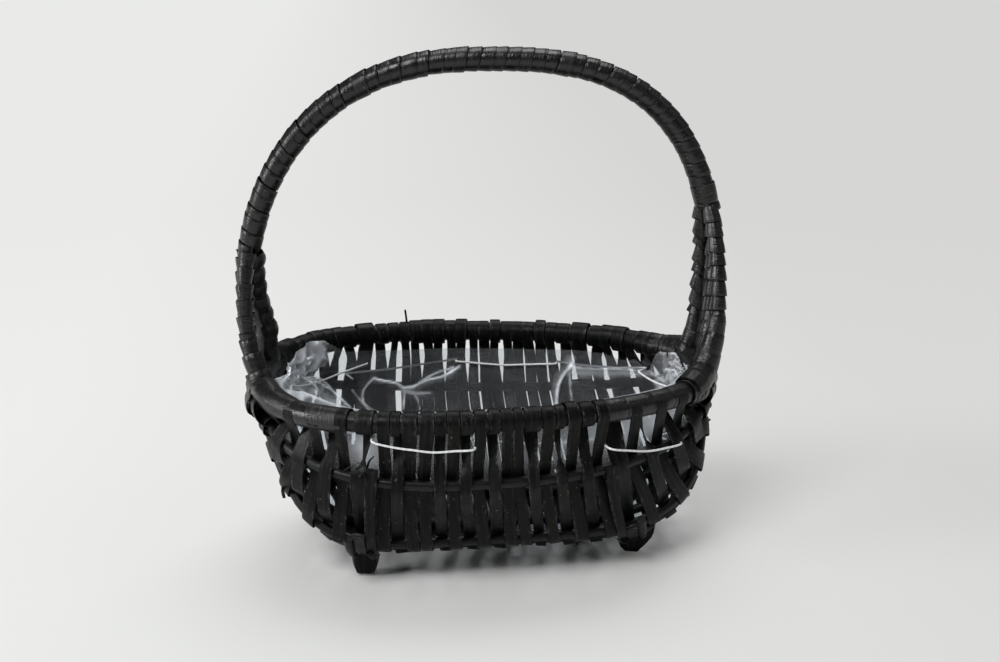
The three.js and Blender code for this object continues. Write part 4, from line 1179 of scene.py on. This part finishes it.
class BASKET_OT_lashings(bpy.types.Operator):
    """Binds the handle's legs with ribbon and lashes its joints to the rim."""

    bl_idname = "basket.lashings"
    bl_label = "Lash Legs"

    def execute(self, context):
        rng = random.Random(SEED)
        for side in ("left", "right"):
            left = side == "left"
            bm = bmesh.new()
            for name in HANDLE_RODS:
                line = Route(leg_points(name, left))
                end, length, radius, flare, bulge, tilt = LEG_TURNS[name, left]
                count = round(end / length)
                for k in range(count):
                    start = (k - (0.5 if name == "middle" else 0)) * end / count
                    reach = end / count * rng.uniform(1.08, 1.25)
                    grown = radius + 0.8 * (k / count) ** 2 * (name == "rear")
                    ridge = rng.uniform(0.015, 0.035)
                    turned = rng.uniform(0.5, 1.2) * tilt
                    cuff(bm, line, start, reach, grown, flare, bulge, turned, ridge, 34, rng.random())
            finish_wood(f"ribbon_leg_weave_{side}", bm, "ribbon_wood", f"leg_weave_{side}")
            bm = bmesh.new()
            for name in ("front", "rear"):
                rear = name == "rear"
                line = bent_leg(name, left)
                for before_end, length, radius, flare in BENT_TURNS[name, left]:
                    start = line.length - before_end
                    tone = 0.5 + rng.random() / 2
                    cuff(bm, line, start, length, radius, flare, 0.2, 1.2, 0.012, 40, tone)
                for low in (0, LOW_BY):
                    line = rim_stretch(left, rear, -low)
                    turns = LOW_TURNS if low else JOINT_TURNS + RIM_TURNS[name, left]
                    if low and left and not rear:
                        turns += LEFT_FLAPS
                    for start, length, radius, flare in turns:
                        ridge, tilt = (0.02, 2.4) if low and radius > LOOSE_RADIUS else (0.006, 0.4)
                        cuff(bm, line, start, length, radius, flare, 0, tilt, ridge, 40, rng.random())
            finish_wood(f"ribbon_joint_{side}", bm, "ribbon_wood", f"ear_lashing_{side}")
        return {"FINISHED"}


# Feet
FOOT_SPREAD = SPLINT_WIDTH / 2 + CLEARANCE + FOOT_RADIUS
FOOT_OFF = RIB_RADIUS + CLEARANCE + FOOT_RADIUS


def foot_place(side):
    """Where the splint that a foot stands astride is, in millimetres from the left joint."""
    number = FEET[side][0]
    return SPLINT_PLACES[LEFT_COUNT - number if side == "left" else LEFT_COUNT + number - 1]


def foot_points(side, rear):
    """A foot's cane: down the wall, round its bend and up again."""
    _, leg_angle, bend_angle, inner = FEET[side]
    half_spread = FOOT_NARROWED * FOOT_SPREAD

    def leg(end, degrees):
        share = (foot_place(side) + end * half_spread) / RIM_LENGTH
        return off_wall(share, facing(degrees, rear), FOOT_OFF)

    points = [leg(inner, mix(leg_angle, bend_angle, i / 8)) for i in range(9)]
    down, up = leg(inner, bend_angle), leg(-inner, bend_angle)
    centre = (down + up) / 2
    centre.z = FOOT_RADIUS - FOOT_FLAT + half_spread
    sideways = ((up - down) * Vector((1, 1, 0))).normalized()
    for degrees in range(180, 361, 30):
        turn = math.radians(degrees)
        aside, up_by = half_spread * math.cos(turn), half_spread * math.sin(turn)
        points.append(centre + sideways * aside + UP * up_by)
    points += [leg(-inner, mix(bend_angle, FOOT_SHORT_LEG_ANGLE, i / 4)) for i in range(5)]
    return points


def foot_leg(side, rear):
    """Control stations of the flattened end of cane that runs up beside the foot's splint."""
    _, leg_angle, bend_angle, inner = FEET[side]
    share = foot_place(side) / RIM_LENGTH + inner * FOOT_SPREAD / RIM_LENGTH
    upper, lower = RIBS["rib_front_upper"][0], RIBS["rib_front_lower"][0]
    stations = []
    for i in range(7):
        degrees = mix(leg_angle + 1, bend_angle - 4, i / 6)
        angle = facing(degrees, rear)
        sag = LEG_SAG * math.sin(math.pi * ramp(degrees, upper, lower))
        point = off_wall(share, angle, RIB_RADIUS + mix(*LEG_OFF, i / 6) - sag)
        stations.append([point, wall_frame(share, angle)[1], mix(*LEG_WIDTHS, i / 6), 0.0])
    return stations


def foot_tongue(side, rear):
    """Control stations of the flat end of splint that hangs down into the foot's bend."""
    bend_angle = FEET[side][2]
    share = foot_place(side) / RIM_LENGTH
    stations = []
    for above in TONGUE_ABOVE:
        angle = facing(bend_angle - above, rear)
        point = off_wall(share, angle, RIB_RADIUS + TONGUE_OFF)
        stations.append([point, wall_frame(share, angle)[1], TONGUE_WIDTH, 0.0])
    low = off_wall(share, facing(bend_angle, rear), FOOT_OFF)
    low.y += TONGUE_OUT if rear else -TONGUE_OUT
    for height, width, shift in FOOT_TONGUES[side]:
        stations.append([Vector((low.x + shift, low.y, height)), stations[1][1], width, 0.0])
    return stations


class BASKET_OT_feet(bpy.types.Operator):
    """Bends the four cane feet."""

    bl_idname = "basket.feet"
    bl_label = "Bend Feet"

    def execute(self, context):
        for side in FEET:
            for rear in (False, True):
                bm = bmesh.new()
                rod(bm, foot_points(side, rear)[6:], FOOT_RADIUS, 10, 1.6, 0.2, waver=0.08)
                strip(bm, foot_leg(side, rear), LEG_THICKNESS, tone=0.6)
                strip(bm, foot_tongue(side, rear), TONGUE_THICKNESS, 1.6, 0.3)
                for vert in bm.verts:
                    vert.co.z = max(vert.co.z, 0)
                end = "rear" if rear else "front"
                finish_wood(f"bent_foot_{end}_{side}", bm, "splint_wood", f"foot_{end}_{side}")
        return {"FINISHED"}


# Liner and stitch
def film_inset(degrees):
    return mix(FILM_TOP_INSET, FILM_BOTTOM_INSET, math.sin(math.radians(degrees)))


def crumpled(share, degrees):
    """How much the film is crumpled up at its left and its right end: near 1 in them, 0 elsewhere."""
    from_keel = 50 if degrees > 90 else 60
    high = ramp(abs(degrees - 90), from_keel, from_keel + 10)
    left_end, right_end = 0.2, 0.872
    if degrees > 90:
        for before, after in zip(CRUMPLED_TO, CRUMPLED_TO[1:]):
            if degrees >= before[0]:
                part = min((degrees - before[0]) / (after[0] - before[0]), 1)
                left_end, right_end = (mix(before[k], after[k], part) for k in (1, 2))
    ragged = 0.016 * wander(share * 40, degrees * 0.25)
    left = ramp(left_end + ragged - share, 0, 0.012)
    right = ramp(share - right_end + ragged, 0, 0.012)
    return high * left, high * right


fold_lines = []


def on_fold_map(share, degrees):
    return Vector((share * RIM_LENGTH, degrees * MM_PER_DEGREE, 0))


def fold_glint(share, degrees):
    """How bright a fold's painted highlight is at a place of the rear film: sharp on one side and soft on
    the other. The film is also raised along the fold by as much.
    """
    if not fold_lines:
        for places, width, bright in FOLDS:
            line = smooth_line([on_fold_map(*place) for place in places], 5)
            fold_lines.append((line, width, bright))
    here = on_fold_map(share, degrees)
    glow = 0.0
    for line, width, bright in fold_lines:
        room = 2.5 * width
        spans = [[point[axis] for point in line] for axis in (0, 1)]
        if not all(min(span) - room < here[axis] < max(span) + room for axis, span in enumerate(spans)):
            continue
        for k, (a, b) in enumerate(zip(line, line[1:])):
            run = b - a
            part = ramp((here - a).dot(run) / run.length_squared)
            away = here - a - run * part
            reach = width * (1 - 0.5 * (k + part) / (len(line) - 1))
            side = 2 if run.cross(away).z < 0 else 0.5
            core = max(0.36 * reach, FOLD_CORE)
            glint = 0.75 * bell(away.length, 0, core)
            glint += 0.25 * bell(away.length, 0, max(reach * side, core))
            glow = max(glow, bright * glint * (0.8 + 0.5 * wander(here.x / 7, here.y / 7, 3)))
    return glow


def creased(u, v):
    """The height, from 0 to 1, of a sheet creased into flat facets."""
    height = 0.0
    for i, (direction, length, weight) in enumerate(CREASES):
        across = (u * math.cos(direction) + v * math.sin(direction)) / length
        phase = (across + 0.8 * wander(u / 26, v / 26, 7 * i)) % 1
        height += weight * abs(2 * phase - 1)
    return height / sum(weight for _, _, weight in CREASES)


def film_place(share, degrees):
    """A point of the film and how milky it is there, with the painted highlights of its folds."""
    left, right = crumpled(share, degrees)
    gather = max(left, right * 0.8)
    top = max(0.0, abs(degrees - 90) / 90 - 0.6) / 0.4  # 0 below the film's upper part, 1 at its edge
    facets = creased(share * RIM_LENGTH, degrees * MM_PER_DEGREE)
    soft = 0.8 * wander(share * 14, degrees * 0.05, 4)
    drawn_in = (9 * bell(share, 0, 0.075) + 3 * bell(share, 1, 0.05)) * top
    point, _, out = wall_frame(share, degrees)
    point = point + out * (-film_inset(degrees) - 0.4 - drawn_in + soft)
    # painted highlight along the folds; it also raises the film into a ridge there
    glow = fold_glint(share, degrees)
    low = ramp(168 - degrees, 0, 4)
    if degrees > 90:
        point = point - out * (gather * mix(facets * 4.5 - 2.0, facets * 1.5, low) + glow)
    lip = (FILM_LIP + 1.7) * (degrees < 90) + 4.5 * bell(share, 0.19, 0.06) + 3 * bell(share, 0.94, 0.03)
    lip += gather * 3.2 * wander(share * 34, 8) + 0.8 * wander(share * 9, 8)
    point.z += lip * top**2
    edge = 0.25 * bell(abs(degrees - 90), 90, 0.5) * (1 - gather)
    front = 0.12 + 0.18 * bell(share, 0.31, 0.035) + 0.22 * bell(share, 0.78, 0.14)
    front *= bell(degrees, 9, 6)
    band = 0.2 * bell(degrees, 170, 1.6) * ramp(share, 0.67, 0.69) * (share < 0.86)
    veil = 0.045 * ramp(degrees, 138, 150)
    crumple = gather * mix(0.04 + 0.45 * facets, 0.15 + 0.1 * facets, low)
    crumple *= 0.7 if share > 0.5 else 1
    # milkiness of the film, with the painted fold highlights laid over it
    milk_and_fold_glint = max(veil + crumple + front + band + edge, glow)
    return point, min(max(milk_and_fold_glint, 0), 0.95)


def film_top(share):
    """The angle of the film's rear edge, which dips where it was cut low."""
    low = 2.6 * ramp(share - 0.22, 0, 0.05) * ramp(0.87 - share, 0, 0.03)
    return 180 - low - 7 * bell(share, 0.852, 0.016) - 2 * bell(share, 0.8, 0.03)


class BASKET_OT_liner(bpy.types.Operator):
    """Lays the clear film in the basket, gathered at both ends."""

    bl_idname = "basket.liner"
    bl_label = "Lay Liner"

    def execute(self, context):
        first = FILM_GAP_TO_JOINT / RIM_LENGTH
        bm = bmesh.new()

        def place(i, j):
            share = mix(first, 1 - first, i / FILM_STEPS)
            for (row, angle), (next_row, next_angle) in zip(FILM_ROWS, FILM_ROWS[1:]):
                if j >= row:
                    degrees = mix(angle, next_angle, (j - row) / (next_row - row))
            if degrees > 140:
                degrees = 140 + (degrees - 140) * (film_top(share) - 140) / 40
            return film_place(share, degrees)

        laid_grid(bm, FILM_STEPS, FILM_ROWS[-1][0], place, (RIM_LENGTH * MM, FILM_MAP))
        shine = bm.verts.layers.float.get("tone")
        for vert in bm.verts:
            near_rim = vert.co.z > (RIM_HEIGHT - SHINY_DEPTH) * MM
            vert[shine] = 1 if near_rim and vert.co.y > SHINY_FROM * MM else 0
        area = sum(face.calc_area() for face in bm.faces)
        bmesh.ops.solidify(bm, geom=bm.faces[:], thickness=size("film_thickness") * MM)
        piece = finish_piece("film_liner", bm, cellophane("Clear film"), "liner", 24)
        return {"FINISHED"}


def stitch_share(gap):
    """Where a gap between two splints is, as a share of the rim."""
    following = LEFT_COUNT + gap
    return (SPLINT_PLACES[following - 1] + SPLINT_PLACES[following]) / 2 / RIM_LENGTH


def angle_at_height(share, height, rear):
    return facing(halved(0, 90, 12, lambda degrees: wall_point(share, degrees).z > height), rear)


def stitch_points():
    """The thread's line: in and out through film and weave, and round both ends inside."""
    points = []

    def add(share, height, rear, offset=None):
        degrees = angle_at_height(share, height, rear)
        if offset is None:
            from_end = min(share, 1 - share) * RIM_LENGTH
            over_crumple = ramp(from_end, *CRUMPLE_REACH)
            offset = -film_inset(degrees) - mix(*THREAD_OFF_FILM, over_crumple)
        points.append(off_wall(share, degrees, offset))

    def stretch(a, b, rear, offset=None):
        span = abs(b[0] - a[0]) * RIM_LENGTH
        steps = max(2, round(span / THREAD_STEP))
        for i in range(1, steps):
            sag = THREAD_SAG * ramp(span, 0, 50) * math.sin(math.pi * i / steps)
            add(mix(a[0], b[0], i / steps), mix(a[1], b[1], i / steps) - sag, rear, offset)

    def stitches(places, rear, outer):
        for i, place in enumerate(places):
            film = -film_inset(angle_at_height(*place, rear))
            stops = [None, film - 1, film + 1, outer]
            for offset in stops[::-1] if i % 2 else stops:
                add(*place, rear, offset)
            if i < len(places) - 1:
                stretch(place, places[i + 1], rear, None if i % 2 else outer)

    def round_end(a, b, share, from_rear):
        before = (share, mix(a[1], b[1], 1 / 3))
        after = (share, mix(a[1], b[1], 2 / 3))
        stretch(a, before, from_rear)
        add(*before, from_rear)
        near = points[-1]
        add(*after, not from_rear)
        far = points.pop()
        points.extend(near.lerp(far, i / 4) for i in range(1, 5))
        stretch(after, b, not from_rear)

    def from_last(along, up):
        return back[-1][0] + along / RIM_LENGTH, back[-1][1] + up

    front = [(stitch_share(gap), height) for gap, height in FRONT_STITCHES]
    back = [(stitch_share(gap), height) for gap, height in REAR_STITCHES]
    end_turn = THREAD_END_TURN / RIM_LENGTH
    start, before = (from_last(*place) for place in THREAD_START)
    add(*before, True)
    add(*start, True)
    round_end(start, front[0], end_turn, True)
    stitches(front, False, THREAD_OFFSET)
    round_end(front[-1], back[0], 1 - end_turn, False)
    stitches(back, True, -THREAD_OFFSET)
    add(*from_last(*THREAD_END), True)
    return points


class BASKET_OT_stitch(bpy.types.Operator):
    """Runs the white thread in and out through film and weave."""

    bl_idname = "basket.stitch"
    bl_label = "Run Stitch"

    def execute(self, context):
        bm = bmesh.new()
        rod(bm, stitch_points(), size("thread_radius"), 8, 1.5, waver=0.05)
        thread = twisted_thread("White thread")
        finish_piece("white_stitch", bm, thread, "liner_stitch", 80)
        return {"FINISHED"}


# Stage
def floor_paper(name):
    """Matt photographer's paper. It gives the eye a pale ground that keeps the soft shadow close under the
    basket; painted light lifts the shadow further out and makes the paper lighter to the left and darker to
    the right.
    """
    material, tree = new_material(name)
    place = add_node(tree, "TexCoord").outputs["Object"]
    distance = add_node(tree, "VectorMath", {0: place}, operation="LENGTH").outputs["Value"]
    # painted light: from 7 cm out from the floor's middle, under the basket, the paper glows for the camera
    # up to near half its colour, which lightens the basket's shadow there; far away it shines evenly, so
    # that no shade or lamp shows on it
    clear = ranged(tree, distance, 0.07, 0.165, 0, 0.46)
    far = product(tree, clear, ranged(tree, distance, 0.4, 1.5), "ADD")
    camera_ray = add_node(tree, "LightPath").outputs["Is Camera Ray"]
    share = product(tree, far, camera_ray)
    # painted light: the paper's colour is lighter to the left and darker to the right, as if lit from the
    # left
    across = add_node(tree, "SeparateXYZ", {0: place}).outputs["X"]
    side = ranged(tree, across, -0.32, 0.32)
    paper = mixed(tree, side, chosen("floor", 1.1), chosen("floor", 0.9))
    matt = add_node(tree, "BsdfDiffuse", {"Color": paper}).outputs[0]
    even = add_node(tree, "Emission", {"Color": paper, "Strength": 1.0}).outputs[0]
    shown(tree, shader_mix(tree, share, matt, even))
    return material


def way_to(azimuth, elevation):
    """The way to a light or the camera, in degrees: round from the front to the right, and up."""
    around, up = math.radians(azimuth), math.radians(elevation)
    return Vector((math.sin(around) * math.cos(up), -math.cos(around) * math.cos(up), math.sin(up)))


def soft_sun(name, azimuth, elevation, angle, strength):
    """A broad soft light from far away."""
    lamp = bpy.data.lights.new(name, "SUN")
    lamp.angle = math.radians(angle)
    lamp.energy = strength
    towards = way_to(azimuth, elevation)
    placed(name, lamp).rotation_euler = towards.to_track_quat("Z", "Y").to_euler()


class BASKET_OT_stage(bpy.types.Operator):
    """Sets the pale floor, the soft lamps and the camera."""

    bl_idname = "basket.stage"
    bl_label = "Set Stage"

    def execute(self, context):
        scene = context.scene
        bm = bmesh.new()
        bmesh.ops.create_circle(bm, cap_ends=True, segments=96, radius=FLOOR_RADIUS)
        mesh = bpy.data.meshes.new("floor")
        bm.to_mesh(mesh)
        bm.free()
        mesh.materials.append(floor_paper("Matt paper"))
        placed("floor", mesh)

        world = bpy.data.worlds.new("Pale room")
        scene.world = world
        world.use_nodes = True
        tree = world.node_tree
        tree.nodes.clear()
        room, seen = (
            add_node(tree, "Background", {"Color": chosen("floor"), "Strength": strength}).outputs[0]
            for strength in (ROOM_LIGHT, 1.0)
        )
        path = add_node(tree, "LightPath").outputs
        in_sight = product(tree, path["Is Camera Ray"], path["Is Transmission Ray"], "ADD")
        shown(tree, shader_mix(tree, in_sight, room, seen), "World")

        for name, light in LIGHTS.items():
            soft_sun(name, *light)

        camera = bpy.data.cameras.new("photo_camera")
        camera.lens = CAMERA_LENS
        camera.sensor_width = 36
        camera.sensor_fit = "HORIZONTAL"
        back = way_to(CAMERA_AZIMUTH, CAMERA_ELEVATION)
        scene.camera = placed("photo_camera", camera)
        scene.camera.location = in_frame(Vector(CAMERA_TARGET)) + back * CAMERA_DISTANCE
        scene.camera.rotation_euler = (-back).to_track_quat("-Z", "Y").to_euler()
        scene.view_settings.view_transform = "Standard"
        return {"FINISHED"}


OPERATORS = (
    BASKET_OT_rim_and_ribs,
    BASKET_OT_splints,
    BASKET_OT_handle,
    BASKET_OT_lashings,
    BASKET_OT_feet,
    BASKET_OT_liner,
    BASKET_OT_stitch,
    BASKET_OT_stage,
)


class BASKET_PT_panel(bpy.types.Panel):
    """Lists the basket's pieces, sizes and colours."""

    bl_idname = "BASKET_PT_panel"
    bl_label = "Gift Basket"
    bl_space_type = "VIEW_3D"
    bl_region_type = "UI"
    bl_category = "Basket"

    def draw(self, context):
        for operator in OPERATORS:
            self.layout.operator(operator.bl_idname)
        for group in (context.scene.basket_sizes, context.scene.basket_colours):
            for name in group.bl_rna.properties.keys():
                if name not in ("rna_type", "name"):
                    self.layout.prop(group, name)


CLASSES = (BasketSizes, BasketColours, *OPERATORS, BASKET_PT_panel)


def register():
    for cls in CLASSES:
        bpy.utils.register_class(cls)
    bpy.types.Scene.basket_sizes = PointerProperty(type=BasketSizes)
    bpy.types.Scene.basket_colours = PointerProperty(type=BasketColours)


def unregister():
    del bpy.types.Scene.basket_colours
    del bpy.types.Scene.basket_sizes
    for cls in reversed(CLASSES):
        bpy.utils.unregister_class(cls)


def main():
    register()
    for operator in OPERATORS:
        group, name = operator.bl_idname.split(".")
        getattr(getattr(bpy.ops, group), name)()


if __name__ == "__main__":
    main()
